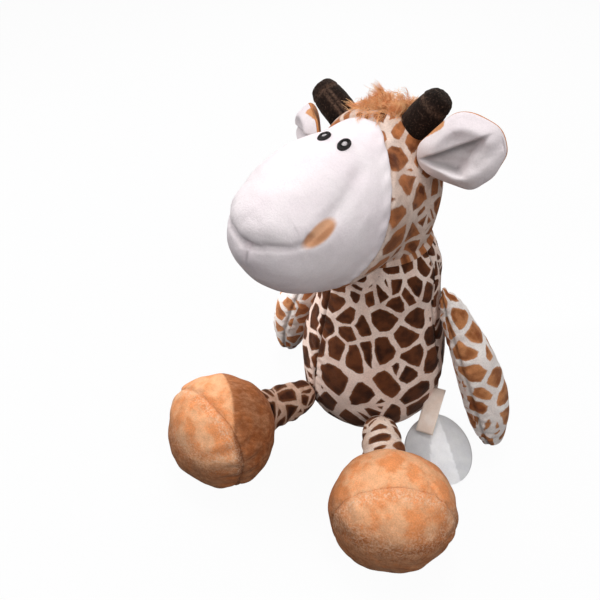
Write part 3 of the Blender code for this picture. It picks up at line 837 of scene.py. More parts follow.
# the seam is straightened, the skin is cut along it and closed, and then it is bent back
def cutByFaceSeam(piece, name, keepFront):
    places = placesOf(piece)
    places[:, 1] += faceSeamAt(places[:, 2])
    straight = piece.copy()
    straight.data = piece.data.copy()
    movePlaces(straight, places)
    form = formOf(straight)
    bpy.data.objects.remove(straight, do_unlink=True)
    facing = 1 if keepFront else -1
    cutForm(form, (0, -facing * head["faceSeamGap"] / 2, 0), (0, facing, 0))
    part = newPiece(name, form)
    places = placesOf(part)
    places[:, 1] -= faceSeamAt(places[:, 2])
    movePlaces(part, places)
    return part


# the crown's cloth is laid round the barrel, with its seam down the middle of the back
def crownFlat(places, ofFace):
    middle = np.array((0.0, -head["barrelForward"], head["barrelBottom"] + head["barrel"]["length"] * 0.52))
    offset, faceOffset = places - middle, ofFace - middle
    turn = np.arctan2(offset[:, 0], -offset[:, 1])
    faceTurn = np.arctan2(faceOffset[:, 0], -faceOffset[:, 1])
    turn = faceTurn + (turn - faceTurn + math.pi) % math.tau - math.pi
    rise = np.arctan2(offset[:, 2], np.hypot(offset[:, 0], offset[:, 1]))
    across = turn * 0.031 * (0.45 + 0.55 * np.cos(rise))
    return np.stack([across + 0.53, (rise * 0.037 + 0.25 * across) * 0.84], axis=1)


def makeHead():
    whole = newPiece("wholeHead", headForm())
    remeshed(whole, head["voxel"])
    cage = placesOf(whole)
    held = np.linalg.norm(cage - (0, 0, torso["pivotHeight"]), axis=1) < head["socketRadius"] + 0.002
    held |= np.abs(-cage[:, 1] - faceSeamAt(cage[:, 2])) < 0.003
    pressedOut(whole, head["pressed"], held)
    subdivided(whole, head["levels"])
    places = placesOf(whole)
    places += normalsOf(whole) * head["clothThickness"]
    movePlaces(whole, places)
    normals = normalsOf(whole)

    lift = 0.00022 * lumps(places, 0.030, 7) + 0.00006 * lumps(places, 0.012, 8)
    seamFar = np.abs(-places[:, 1] - faceSeamAt(places[:, 2]))
    look = head["faceSeam"]
    groove = bump(seamFar, look["width"])
    aside, up = places[:, 0], places[:, 2]
    ripple = np.sin(up * 900 + aside * 700) * 0.5 + np.sin(up * 520 - aside * 610)
    lift += -look["depth"] * groove * (1 + 0.3 * ripple)
    beside = bump(seamFar - look["swellAway"], look["swellReach"])
    lift += look["swell"] * beside * (1 + ripple) * (1 - groove)
    for side, level in ((1, 1.0), (-1, head["farRise"])):
        corner = head["mouthPoints"][2][1]
        lowered = []
        for aside, up in head["mouthPoints"]:
            lowered.append((aside, min(up, corner) + max(0.0, up - corner) * level))
        mouth = faceLine(lowered, head["mouthForward"], side)
        climbing = [(aside, corner + (up - corner) * level) for aside, up in head["cheekPoints"]]
        cheek = faceLine(climbing, head["cheekForward"], side)
        mouthLine = onSkin(smoothLine(mouth + cheek[:1]), places)
        cheekLine = onSkin(smoothLine([mouth[-1]] + cheek), places)
        change, paintedShade = sewn(places, mouthLine, head["mouth"], 31)
        lift += change + sewn(places, cheekLine, head["valley"], 33)[0]
        groove = np.maximum(groove, 0.6 * paintedShade)
    # the upper lip swells over the mouth and the chin below it
    face = carried(places, faceRoll().inverted())
    forward, aside, up = -face[:, 1], face[:, 0], face[:, 2] - head["snoutHeight"]
    tip = np.clip((forward - head["tipFrom"]) / head["tipRun"], 0, 1)
    for look in (head["lip"], head["chin"]):
        lift += look["swell"] * tip * bump(up - look["up"], look["reach"])
    look = head["chinCrease"]
    chinCrease = tip * bump(aside, look["width"]) * bump(up - look["up"], look["reach"])
    lift -= look["depth"] * chinCrease
    groove = np.maximum(groove, 0.5 * chinCrease)
    places = places + normals * lift[:, None]
    centre = np.array((0, 0, torso["pivotHeight"]))
    away = places - centre
    far = np.linalg.norm(away, axis=1)
    inSocket = far < head["socketRadius"]
    push = np.where(inSocket, head["socketRadius"] / np.maximum(far, 1e-9), 1.0)
    places = centre + away * push[:, None]
    movePlaces(whole, places)
    # painted shade in the face seam, along the mouth and in the chin crease
    marked(whole, "paintedShade", groove)

    back = cutByFaceSeam(whole, "headBackSkin", False)
    layCloth(back, crownFlat)
    muzzle = cutByFaceSeam(whole, "muzzleSkin", True)
    bpy.data.objects.remove(whole, do_unlink=True)
    pose = headPose()
    for piece in (back, muzzle):
        carryPiece(piece, pose)

    crownPrint = printLook(
        cell=0.0100,
        channel=0.0016,
        wander=0.0034,
        wanderSize=0.009,
        dark=paintOf(96, 50, 28),
        warm=paintOf(188, 116, 70),
        ground=paintOf(234, 211, 198),
        groundShade=paintOf(214, 186, 170),
        rimColour=paintOf(190, 128, 86),
    )
    back.data.materials.append(
        printFinish(
            "crownPrint",
            crownPrint,
            pileLook(sheen=0.10, sheenTint=warmSheen, seamShade=0.15),
        )
    )
    spot = pose @ Vector((0.0231, -0.0875, 0.1565))
    along = (pose.to_3x3() @ Vector((0.0050, 0.0130, 0.0076))).normalized()
    outward = (pose.to_3x3() @ Vector((0.80, -0.50, 0.15))).normalized()
    across = outward.cross(along).normalized()
    spotFrame = Matrix((along, across, along.cross(across))).transposed()

    def muzzlePaint(tree, where):
        colour = clouded(tree, where, 0.03, paintOf(244, 235, 237), paintOf(238, 226, 230))
        spotTurn = spotFrame.to_euler()
        tan = insideOval(tree, where, spot, spotTurn, (0.0084, 0.0036, 0.006), 0.22)
        colour = mixed(tree, maths(tree, "MULTIPLY", tan, 0.9), colour, paintOf(222, 160, 112))
        streakAt = spot + spotFrame @ Vector((0.001, -0.0016, 0))
        streak = insideOval(tree, where, streakAt, spotTurn, (0.0062, 0.0012, 0.006), 0.5)
        return mixed(tree, maths(tree, "MULTIPLY", streak, 0.55), colour, paintOf(168, 104, 62))

    muzzlePile = pileLook(sheen=0.15, napShade=0.05, tuftShade=0.03, seamShade=0.22)
    muzzle.data.materials.append(clothFinish("whitePlush", muzzlePile, muzzlePaint))
    for piece, slot in ((back, "print_plush"), (muzzle, "white_plush")):
        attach(piece, "head")
    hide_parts("head_back", "head_stuffing")
    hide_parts("muzzle_panel", "jaw_panel")


makeHead()
stage("head sewn")

# arms
arms = {
    "form": {
        "length": 0.1100,
        "halfWidth": 0.0134,
        "halfDepth": 0.0140,
        "fullness": 0.70,
        "shares": ((0.0, 0.40), (0.12, 0.62), (0.45, 0.90), (0.80, 1.0), (1.0, 0.94)),
        "segments": 24,
        "rings": 28,
    },
    "bow": 0.0045,
    "pressed": 0.0008,
    "seamAside": 0.0012,
    "printRadius": 0.0130,
    "standOff": 0.0002,
    "rootHalfThickness": 0.0020,
    "shoulderHeight": 0.1020,
    # side, sign, how far it splays and how far it sweeps forward
    "sides": (("left", 1, 25.5, 0.0), ("right", -1, 18.0, 9.0)),
    "seam": {"depth": 0.0009, "width": 0.0010, "reach": 0.0030, "swell": 0.00045, "pucker": 0.0050},
}


def layRound(radius, offset):
    def flat(places, ofFace):
        faceTurn = np.arctan2(ofFace[:, 0], ofFace[:, 1])
        turn = np.arctan2(places[:, 0], places[:, 1])
        turn = faceTurn + (turn - faceTurn + math.pi) % math.tau - math.pi
        return np.stack([turn * radius + offset, places[:, 2] + offset], axis=1)

    return flat


def makeArm(side, sign, splay, sweep):
    form = stuffedForm({**arms["form"], "bow": -sign * arms["bow"]})
    piece = newPiece("arm" + side.capitalize(), form)
    cage = placesOf(piece)
    axisAt = -sign * arms["bow"] * np.sin(np.pi * cage[:, 2] / arms["form"]["length"])
    held = (np.abs(cage[:, 0] - axisAt) < 0.002) | (cage[:, 2] < 0.012)
    pressedOut(piece, arms["pressed"], held)
    subdivided(piece, 2)
    places, normals = placesOf(piece), normalsOf(piece)
    axisAt = -sign * arms["bow"] * np.sin(np.pi * places[:, 2] / arms["form"]["length"])
    aside = places[:, 0] - axisAt - sign * arms["seamAside"]
    look = arms["seam"]
    ripple = np.sin(places[:, 2] * math.tau / look["pucker"]) + 0.8 * np.sin(places[:, 2] * 790 + 1.1)
    groove = bump(aside, look["width"])
    lift = -look["depth"] * groove * (1 + 0.35 * ripple)
    lift += look["swell"] * bump(np.abs(aside) - look["reach"], look["reach"]) * ripple * (1 - groove)
    lift += 0.0003 * lumps(places, 0.022, 41 + sign) + 0.00012 * lumps(places, 0.008, 44 + sign)
    places = places + normals * lift[:, None]
    movePlaces(piece, places)
    layCloth(piece, layRound(arms["printRadius"], 0.21 + 0.17 * sign))
    # painted shade along the seam
    marked(piece, "paintedShade", groove)
    out = bellyRadiusAt(arms["shoulderHeight"]) + arms["rootHalfThickness"] + seamGap + arms["standOff"]
    shoulder = Matrix.Translation((sign * out, 0, arms["shoulderHeight"]))
    hang = Matrix.Rotation(math.pi - sign * math.radians(splay), 4, "Y")
    swing = turned(sweep, "X")
    stand = shoulder @ swing @ hang @ Matrix.Translation((0, 0, -arms["rootHalfThickness"]))
    carryPiece(piece, stand)
    piece.data.materials.append(armPrint)
    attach(piece, side + "_arm")
    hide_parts("arm_front_" + side, "arm_back_" + side, "arm_stuffing_" + side)


armPrint = printFinish(
    "armPrint",
    printLook(
        cell=0.0135,
        channel=0.0026,
        soft=0.0005,
        wander=0.0046,
        wanderSize=0.010,
        splitShare=0.25,
        dark=paintOf(140, 78, 42),
        warm=paintOf(214, 146, 96),
        rimShare=0.5,
        rimColour=paintOf(214, 150, 100),
        ground=paintOf(255, 248, 243),
        groundShade=paintOf(246, 234, 228),
    ),
    pileLook(sheen=0.15, sheenTint=(1.0, 0.92, 0.86, 1.0)),
)
for armSide in arms["sides"]:
    makeArm(*armSide)
stage("arms sewn")

# legs and feet
legs = {
    "radius": 0.0115,
    "height": 0.0285,
    "turnout": 30.5,
    "reach": 0.1010,
    "fullness": 0.5,
    "segments": 24,
    "rings": 16,
    "standOff": 0.0004,
    "foldSize": 0.0075,
    "foldRise": 0.00045,
    "foldsAt": 0.024,
    "foldsReach": 0.016,
    "printShare": 0.68,
}
feet = {
    "form": {
        "length": 0.0600,
        "halfWidth": 0.0315,
        "halfDepth": 0.0290,
        "fullness": 0.86,
        "segments": 36,
        "rings": 24,
    },
    "seatDrop": 0.0005,
    "pressed": 0.0012,
    "soleSeamLean": 5.0,
    "seamPucker": 0.0085,
    "seamWidth": 0.0012,
    "seamReach": 0.0045,
    # where the sole's seam runs, how deep it is drawn in, how the cloth swells beside it, and the height
    # below which shade is painted on the foot
    "left": {
        "seamForward": 0.0098,
        "seamTurn": -4.0,
        "depth": 0.0004,
        "swell": 0.00018,
        "lightAbove": 0.052,
    },
    "right": {
        "seamForward": 0.0092,
        "seamTurn": 12.0,
        "depth": 0.0010,
        "swell": 0.00050,
        "lightAbove": 0.047,
    },
    # a sharp fold on the right foot and a short crease on the left one, each in its foot's own frame
    "ridge": ((-0.0003, 0.0069, 0.0594), (0.0233, -0.0027, 0.0510), (0.0295, -0.0042, 0.0393)),
    "ridgeAcross": (0.205, 0.954, -0.221),
    "ridgeBow": 0.0024,
    "ridgeRise": 0.0026,
    "ridgeReach": 0.0085,
    # place, depth and reach of the right foot's hollows
    "hollows": (
        ((0.018, 0.010, 0.048), 0.0013, 0.0095),
        ((0.008, -0.004, 0.060), 0.0007, 0.0065),
        ((0.008, -0.026, 0.040), 0.0010, 0.0110),
    ),
    "crease": ((0.0147, -0.0041, 0.0568), (0.0190, -0.0080, 0.0540), (0.0215, -0.0115, 0.0505)),
}


def makeLeg(side, sign):
    turnout = turned(sign * legs["turnout"], "Z")
    hipReach = bellyRadiusAt(legs["height"]) + legs["radius"] + seamGap + legs["standOff"]
    hip = turnout @ Vector((0, -hipReach, legs["height"]))
    footCentre = turnout @ Vector((0, -legs["reach"], feet["form"]["length"] / 2 - feet["seatDrop"]))

    length = legs["reach"] - hipReach + legs["radius"]
    look = {"length": length, "halfWidth": legs["radius"], "halfDepth": legs["radius"]}
    leg = newPiece("leg" + side.capitalize(), stuffedForm({**legs, **look}))
    subdivided(leg, 2)
    places, normals = placesOf(leg), normalsOf(leg)
    turn = np.arctan2(places[:, 0], places[:, 1])
    folds = np.sin(places[:, 2] * math.tau / legs["foldSize"] + 1.4 * np.sin(turn) + sign)
    lift = legs["foldRise"] * folds * bump(places[:, 2] - legs["foldsAt"], legs["foldsReach"])
    lift = lift + 0.0003 * lumps(places, 0.012, 51 + sign)
    movePlaces(leg, places + normals * lift[:, None])
    layCloth(leg, layRound(legs["radius"] * legs["printShare"], 0.43 + 0.11 * sign))
    lay = Matrix.Rotation(quarterTurn, 4, "X")
    stand = Matrix.Translation(hip) @ turnout @ lay @ Matrix.Translation((0, 0, -legs["radius"]))
    carryPiece(leg, stand)
    leg.data.materials.append(legPrints[side])
    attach(leg, side + "_leg")
    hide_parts("leg_" + side, "leg_stuffing_" + side)

    whole = newPiece("wholeFoot", stuffedForm(feet["form"]))
    cage = placesOf(whole)
    lean = math.radians(feet["soleSeamLean"])
    look = feet[side]
    swing = math.radians(look["seamTurn"])
    level = math.cos(lean)
    seamNormal = np.array((math.sin(swing) * level, -math.cos(swing) * level, math.sin(lean)))
    seamPoint = np.array((0.0, -look["seamForward"], feet["form"]["length"] / 2))
    held = (np.abs((cage - seamPoint) @ seamNormal) < 0.0022) | (cage[:, 2] < 0.0015)
    pressedOut(whole, feet["pressed"], held)
    subdivided(whole, 2)
    places, normals = placesOf(whole), normalsOf(whole)
    aside = (places - seamPoint) @ seamNormal
    around = np.arctan2(places[:, 0], places[:, 2] - 0.030)
    ripple = np.sin(around * 0.03 * math.tau / feet["seamPucker"]) + 0.8 * np.sin(around * 17.0 + 0.8 + sign)
    groove = bump(aside, feet["seamWidth"])
    lift = -look["depth"] * groove * (1 + 0.3 * ripple)
    lift += look["swell"] * bump(np.abs(aside) - feet["seamReach"], feet["seamReach"]) * ripple * (1 - groove)
    lift += 0.0005 * lumps(places, 0.026, 61 + sign) + 0.00014 * lumps(places, 0.009, 64 + sign)
    change, paintedFootShade, raised = footFolds(places, side)
    raised = np.maximum(raised, 0.7 * bump(aside - 0.0028, 0.0030) * (places[:, 2] > 0.030))
    lift += change
    places = places + normals * lift[:, None]
    places[:, 2] = np.maximum(places[:, 2], feet["seatDrop"])
    movePlaces(whole, places)
    # painted shade along the sole's seam, stronger where the seam is drawn in deeper
    marked(whole, "paintedShade", groove * look["depth"] / 0.0010)
    marked(whole, "paintedFootShade", paintedFootShade)
    marked(whole, "raised", raised)
    stand = Matrix.Translation(footCentre) @ turnout @ Matrix.Translation((0, 0, -feet["form"]["length"] / 2))
    for name, keep, node in (("footUpper", 1, "foot_upper_"), ("footSole", -1, "foot_sole_")):
        seamEdge = Vector(seamPoint) - Vector(seamNormal) * keep * seamGap / 2
        form = cutForm(formOf(whole), seamEdge, Vector(seamNormal) * keep)
        piece = newPiece(name + side.capitalize(), form)
        carryPiece(piece, stand)
        piece.data.materials.append(tanPlush)
        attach(piece, side + "_leg")
        if keep == 1:
            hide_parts(node + side, "foot_stuffing_" + side)
        else:
            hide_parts(node + side)
    bpy.data.objects.remove(whole, do_unlink=True)


# the folds of a foot, with painted shade on its lower part and on the far side of the right foot's ridge, and
# where its pile stands up and is pale
def footFolds(places, side):
    up = places[:, 2]
    # painted shade: darker towards the bottom, below the height the light reaches
    paintedFootShade = 0.78 * np.clip((feet[side]["lightAbove"] - up) / 0.013, 0, 1)
    raised = 0.45 * np.clip(-places[:, 1] / 0.010, 0, 1) * bump(up - 0.041, 0.008)
    if side == "left":
        far = nearLine(places, smoothLine(feet["crease"]))[0]
        return -0.0009 * bump(far, 0.0008) + 0.0005 * bump(far - 0.0018, 0.0012), paintedFootShade, raised
    ridge = np.array(feet["ridge"])
    far = nearLine(places, smoothLine(ridge))[0]
    middle = np.linalg.norm(places - ridge[1], axis=1)
    centre = np.array((0, 0, feet["form"]["length"] / 2))
    beyond = (places - centre) @ np.array(feet["ridgeAcross"]) + feet["ridgeBow"] * bump(middle, 0.014)
    lift = feet["ridgeRise"] * np.exp(-far / feet["ridgeReach"])
    for place, depth, reach in feet["hollows"]:
        lift -= depth * bump(np.linalg.norm(places - place, axis=1), reach)
    # painted shade on the side of the ridge that faces away from the light
    darkSide = np.clip(0.5 + beyond / 0.0010, 0, 1)
    return lift, np.maximum(paintedFootShade, 0.85 * darkSide), raised * (1 - darkSide)


def tanPaint(tree, where):
    clouds = grain(tree, where, 0.011, 3, 0.6)
    streakWay = patternPlace(tree, where, (0, 0, 0), (0.5, 0.3, 0.7), (2.4, 1.0, 1.0))
    streaks = grain(tree, streakWay, 0.0022, 4, 0.65)
    fuzz = grain(tree, where, 0.0011, 3, 0.7)
    paintedFootShade = markRead(tree, "paintedFootShade")
    raised = markRead(tree, "raised")
    colour = mixed(tree, between(tree, clouds, 0.40, 0.62), paintOf(255, 190, 142), paintOf(246, 158, 100))
    # painted shade: brown streaky darkening on the lower foot and on the far side of the ridge
    share = maths(tree, "MULTIPLY", paintedFootShade, between(tree, streaks, 0.30, 0.70, 0.70, 1.10))
    colour = mixed(tree, share, colour, paintOf(148, 82, 42))
    share = maths(tree, "MULTIPLY", raised, between(tree, fuzz, 0.42, 0.66, 0.0, 1.0))
    return mixed(tree, share, colour, paintOf(255, 216, 184))


legPrints = {}
for legSide, channel, dark, warm, ground, shade in (
    ("left", 0.0012, (62, 32, 18), (142, 84, 50), (252, 232, 218), (236, 206, 186)),
    ("right", 0.0008, (34, 16, 9), (84, 44, 26), (228, 196, 176), (196, 156, 132)),
):
    legLook = printLook(
        cell=0.0100,
        channel=channel,
        shrink=0.01,
        dark=paintOf(*dark),
        warm=paintOf(*warm),
        ground=paintOf(*ground),
        groundShade=paintOf(*shade),
    )
    legPile = pileLook(sheen=0.10, sheenTint=warmSheen)
    legPrints[legSide] = printFinish(legSide + "LegPrint", legLook, legPile)
tanPile = pileLook(sheen=0.10, sheenTint=(1.0, 0.80, 0.62, 1.0), tuftShade=0.10, seamShade=0.20)
tanPlush = clothFinish("tanPlush", tanPile, tanPaint)
for legSide in (("left", 1), ("right", -1)):
    makeLeg(*legSide)
stage("legs and feet sewn")

# ears
ears = {
    "form": {
        "length": 0.0390,
        "halfWidth": 0.0180,
        "halfDepth": 0.0066,
        "fullness": 0.80,
        "shares": ((0.0, 0.62), (0.22, 0.72), (0.58, 1.0), (0.86, 0.86), (1.0, 0.70)),
        "segments": 40,
        "rings": 28,
    },
    # the pocket's three corners on the lining, as (across, along), and how soft each of its sides is
    "pocket": ((0.0010, 0.0020), (-0.0056, 0.0305), (0.0096, 0.0186)),
    "pocketSoft": (0.0007, 0.0034, 0.0009),
    "pocketDepth": 0.90,
    "rollShare": 0.45,
    "floorFold": ((0.0016, 0.0125), (0.0012, 0.0190), (0.0030, 0.0245)),
    "floorFoldRise": 0.0012,
    "dent": ((0.0070, 0.0275), (0.0030, 0.0325), (-0.0010, 0.0375)),
    "dentDepth": 0.0010,
    "tanPatch": ((-0.0105, 0.0040), (-0.0130, 0.0100), (-0.0142, 0.0130)),
    "seamForward": 0.0006,
    "backShare": 0.90,
    "narrower": 0.93,
    "longer": 1.03,
    "mirror": {"left": 1, "right": -1},
    # how far each root stays back from the head, so that it clears the head when folded
    "rootRoom": {"left": 0.00015, "right": 0.00095},
    "rootRadius": 0.0048,
    "rootHeight": 0.1740,
    "forward": 0.0180,
    # side, sign, rise and swing
    "sides": (("left", 1, 14.0, 12.0), ("right", -1, -12.0, 42.0)),
}


def headSideAt(forward, height):
    along = (height - head["barrelBottom"]) / head["barrel"]["length"]
    girth = math.sqrt(1 - (2 * along - 1) ** 2) ** head["barrel"]["fullness"]
    ahead = (forward - head["barrelForward"]) / head["barrel"]["halfDepth"]
    return head["barrel"]["halfWidth"] * math.sqrt(girth**2 - ahead**2)


def earStand(sign, rise, swing):
    aside = sign * (headSideAt(ears["forward"], ears["rootHeight"]) + ears["rootRadius"])
    root = Vector((aside, -ears["forward"], ears["rootHeight"]))
    lifted = Matrix.Rotation(sign * (math.radians(rise) - quarterTurn), 4, "Y")
    swung = turned(sign * swing, "Z")
    foot = Matrix.Translation((0, 0, -ears["rootRadius"]))
    return headPose() @ Matrix.Translation(root) @ swung @ lifted.inverted() @ foot


def makeEar(side, sign, rise, swing):
    whole = newPiece("wholeEar", stuffedForm(ears["form"]))
    subdivided(whole, 2)
    places, normals = placesOf(whole), normalsOf(whole)
    flat = np.stack([places[:, 0] * ears["mirror"][side], np.zeros(len(places)), places[:, 2]], axis=1)
    ring = np.hypot(places[:, 0] / 0.0160, (places[:, 2] - 0.0215) / 0.0175)
    pocket = np.ones(len(places))
    corners = ears["pocket"]
    for number, soft in enumerate(ears["pocketSoft"]):
        start, end = np.array(corners[number]), np.array(corners[(number + 1) % 3])
        way = (end - start) / np.linalg.norm(end - start)
        inside = (flat[:, 0] - start[0]) * way[1] - (flat[:, 2] - start[1]) * way[0]
        pocket *= 1 / (1 + np.exp(-inside / soft * 2.5))

    def near(line):
        return nearLine(flat, [(x, 0, z) for x, z in smoothLine2(line)])[0]

    front = places[:, 1] < 0
    depth = places[:, 1] * (1 + ears["rollShare"] * bump(ring - 0.72, 0.22))
    floorFold = pocket * bump(near(ears["floorFold"]), 0.0022)
    depth = depth * (1 - ears["pocketDepth"] * pocket) - ears["floorFoldRise"] * floorFold
    dent = bump(near(ears["dent"]), 0.0028) * (1 - pocket) * (ring < 0.95)
    depth = np.minimum(depth + ears["dentDepth"] * dent, -0.00001)
    depth = np.minimum(depth, -0.0013 * np.clip(3 * pocket, 0, 1))
    flatter = ears["backShare"] * (0.42 + 0.58 * np.clip((places[:, 2] - 0.008) / 0.014, 0, 1))
    places[:, 1] = np.where(front, depth, places[:, 1] * flatter)
    longWall, shortWall = near((corners[0], corners[1])), near((corners[0], corners[2]))
    walls = np.maximum(bump(longWall, 0.0034), 0.8 * bump(shortWall, 0.0026))
    # painted shade in the lining's pocket, darkest along its walls
    shade = np.where(front, pocket * (0.35 + 0.9 * walls), 0.0)
    tan = np.clip(1.6 - near(ears["tanPatch"]) / 0.0022, 0, 1)
    upper = places[:, 0] * ears["mirror"][side] < 0
    places[:, 0] *= np.where(upper, ears["narrower"], 1.0)
    places[:, 2] *= ears["longer"]
    places[:, 2] += ears["rootRoom"][side] * np.clip(1 - places[:, 2] / 0.0090, 0, 1)
    places += normals * (0.0002 * lumps(places, 0.010, 81 + sign))[:, None]
    movePlaces(whole, places)
    marked(whole, "paintedShade", shade)
    marked(whole, "tan", tan)
    stand = earStand(sign, rise, swing)
    for name, keep, node, slot in (
        ("earLining", -1, "ear_lining_", "white_plush"),
        ("earBack", 1, "ear_back_", "tan_plush"),
    ):
        seamEdge = (0, -ears["seamForward"] + keep * seamGap / 2, 0)
        form = cutForm(formOf(whole), seamEdge, (0, -keep, 0))
        piece = newPiece(name + side.capitalize(), form)
        carryPiece(piece, stand)
        piece.data.materials.append(liningPlush if keep == -1 else earBackPlush)
        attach(piece, side + "_ear")
        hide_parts(node + side)
    bpy.data.objects.remove(whole, do_unlink=True)


def plainPaint(light, shade, size=0.02):
    def paint(tree, where):
        return clouded(tree, where, size, light, shade)

    return paint


def liningPaint(tree, where):
    colour = clouded(tree, where, 0.02, paintOf(242, 233, 234), paintOf(232, 221, 224))
    tan = markRead(tree, "tan")
    edge = grain(tree, where, 0.0014, 3, 0.6)
    share = between(tree, maths(tree, "MULTIPLY_ADD", edge, 0.5, tan), 0.70, 0.95)
    return mixed(tree, share, colour, paintOf(214, 150, 100))


liningPlush = clothFinish(
    "liningPlush", pileLook(sheen=0.15, napShade=0.06, tuftShade=0.03, seamShade=0.55), liningPaint
)
earBackPlush = clothFinish(
    "earBackPlush",
    pileLook(sheen=0.25, sheenTint=(1.0, 0.85, 0.7, 1.0)),
    plainPaint(paintOf(226, 158, 102), paintOf(196, 122, 70)),
)
for earSide in ears["sides"]:
    makeEar(*earSide)
stage("ears sewn")

# horns
horns = {
    "form": {
        "length": 0.0320,
        "halfWidth": 0.0080,
        "halfDepth": 0.0080,
        "fullness": 0.38,
        "segments": 28,
        "rings": 28,
    },
    "capStart": 0.0262,
    "capSeam": {"depth": 0.0003, "width": 0.0005, "swell": 0.0002, "swellAway": 0.0012, "swellReach": 0.0008},
    "tubeSeam": {"depth": 0.0004, "width": 0.0007},
    "spacing": 0.0310,
    "setback": -0.0100,
    "footHeight": 0.1720,
    # side, sign, lean and how much farther the sewn horn leans about its tip
    "sides": (("left", 1, 32.0, 9.0), ("right", -1, 38.0, 10.0)),
}


def makeHorn(side, sign, splay, further):
    piece = newPiece("horn" + side.capitalize(), stuffedForm(horns["form"]))
    subdivided(piece, 2)
    places, normals = placesOf(piece), normalsOf(piece)
    rim = places[:, 2] - horns["capStart"]
    look, tubeSeam = horns["capSeam"], horns["tubeSeam"]
    lift = -look["depth"] * bump(rim, look["width"])
    lift = lift + look["swell"] * bump(rim - look["swellAway"], look["swellReach"])
    turn = np.arctan2(places[:, 1], places[:, 0])
    lengthwise = ((turn - 0.9 * sign + math.pi) % math.tau - math.pi) * horns["form"]["halfWidth"]
    onTube = np.clip(-rim / 0.002, 0, 1)
    lift -= tubeSeam["depth"] * bump(lengthwise, tubeSeam["width"]) * onTube
    lift += 0.00010 * lumps(places, 0.010, 71 + sign) + 0.00005 * lumps(places, 0.0022, 74 + sign)
    movePlaces(piece, places + normals * lift[:, None])
    beside = bump(np.abs(lengthwise) - 0.0013, 0.0009) * onTube
    marked(piece, "raised", np.maximum(beside, 0.8 * bump(rim, 0.0012)))
    foot = Matrix.Translation((sign * horns["spacing"] / 2, horns["setback"], horns["footHeight"]))
    lean = turned(sign * splay, "Y")
    tip = Matrix.Translation((0, 0, horns["form"]["length"]))
    lean = lean @ tip @ turned(sign * further, "Y") @ tip.inverted()
    carryPiece(piece, headPose() @ foot @ lean)
    piece.data.materials.append(hornPlush)
    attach(piece, "head")
    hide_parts("horn_" + side, "horn_cap_" + side)


def hornPaint(tree, where):
    fuzz = grain(tree, where, 0.0010, 3, 0.7)
    dark = clouded(tree, where, 0.008, paintOf(16, 8, 5), paintOf(32, 18, 12))
    raised = markRead(tree, "raised")
    share = maths(tree, "MULTIPLY_ADD", raised, 0.45, between(tree, fuzz, 0.50, 0.72, 0.0, 0.24))
    share = maths(tree, "MULTIPLY", share, between(tree, fuzz, 0.34, 0.56, 0.2, 1.0))
    return mixed(tree, share, dark, paintOf(128, 100, 84))


hornPlush = clothFinish(
    "hornPlush",
    pileLook(sheen=0.08, sheenTint=(0.78, 0.62, 0.52, 1.0), nap=0.0006, napHeight=0.0003),
    hornPaint,
)
for hornSide in horns["sides"]:
    makeHorn(*hornSide)
stage("horns sewn")

# eyes: raised black embroidery round a pale spot
eyes = {
    "halfWidth": 0.0026,
    "halfLength": 0.0050,
    "threadRadius": 0.0010,
    "spacing": 0.0106,
    "forward": 0.0550,
    "stitches": 84,
    "rows": 9,
    "innerShare": 0.36,
    "sunk": 0.0016,
    "footShare": 0.9,
    "turn": 14.0,
}


def snoutTopAt(forward, aside):
    look = head["snout"]
    along = (forward + head["snoutBack"]) / look["length"]
    ring = math.sqrt(1 - (2 * along - 1) ** 2) ** look["fullness"] * shareAt(look["shares"], along)
    return head["snoutHeight"] + look["halfDepth"] * math.sqrt(ring**2 - (aside / look["halfWidth"]) ** 2)


def eyeStand(sign):
    aside = eyes["spacing"] / 2
    surface = snoutTopAt(eyes["forward"], aside)
    fall = snoutTopAt(eyes["forward"] + eyes["halfLength"], aside) - surface
    lean = snoutTopAt(eyes["forward"], aside + eyes["halfWidth"]) - surface
    outward = Vector((-sign * lean / eyes["halfWidth"], fall / eyes["halfLength"], 1)).normalized()
    across = Vector((0, 1, 0)).cross(outward).normalized()
    faceOut = Matrix((across, outward.cross(across), outward)).transposed().to_4x4()
    spot = Matrix.Translation((sign * aside, -eyes["forward"], surface + 0.0004))
    turn = turned(eyes["turn"], "Z")
    return headPose() @ faceRoll() @ spot @ faceOut @ turn


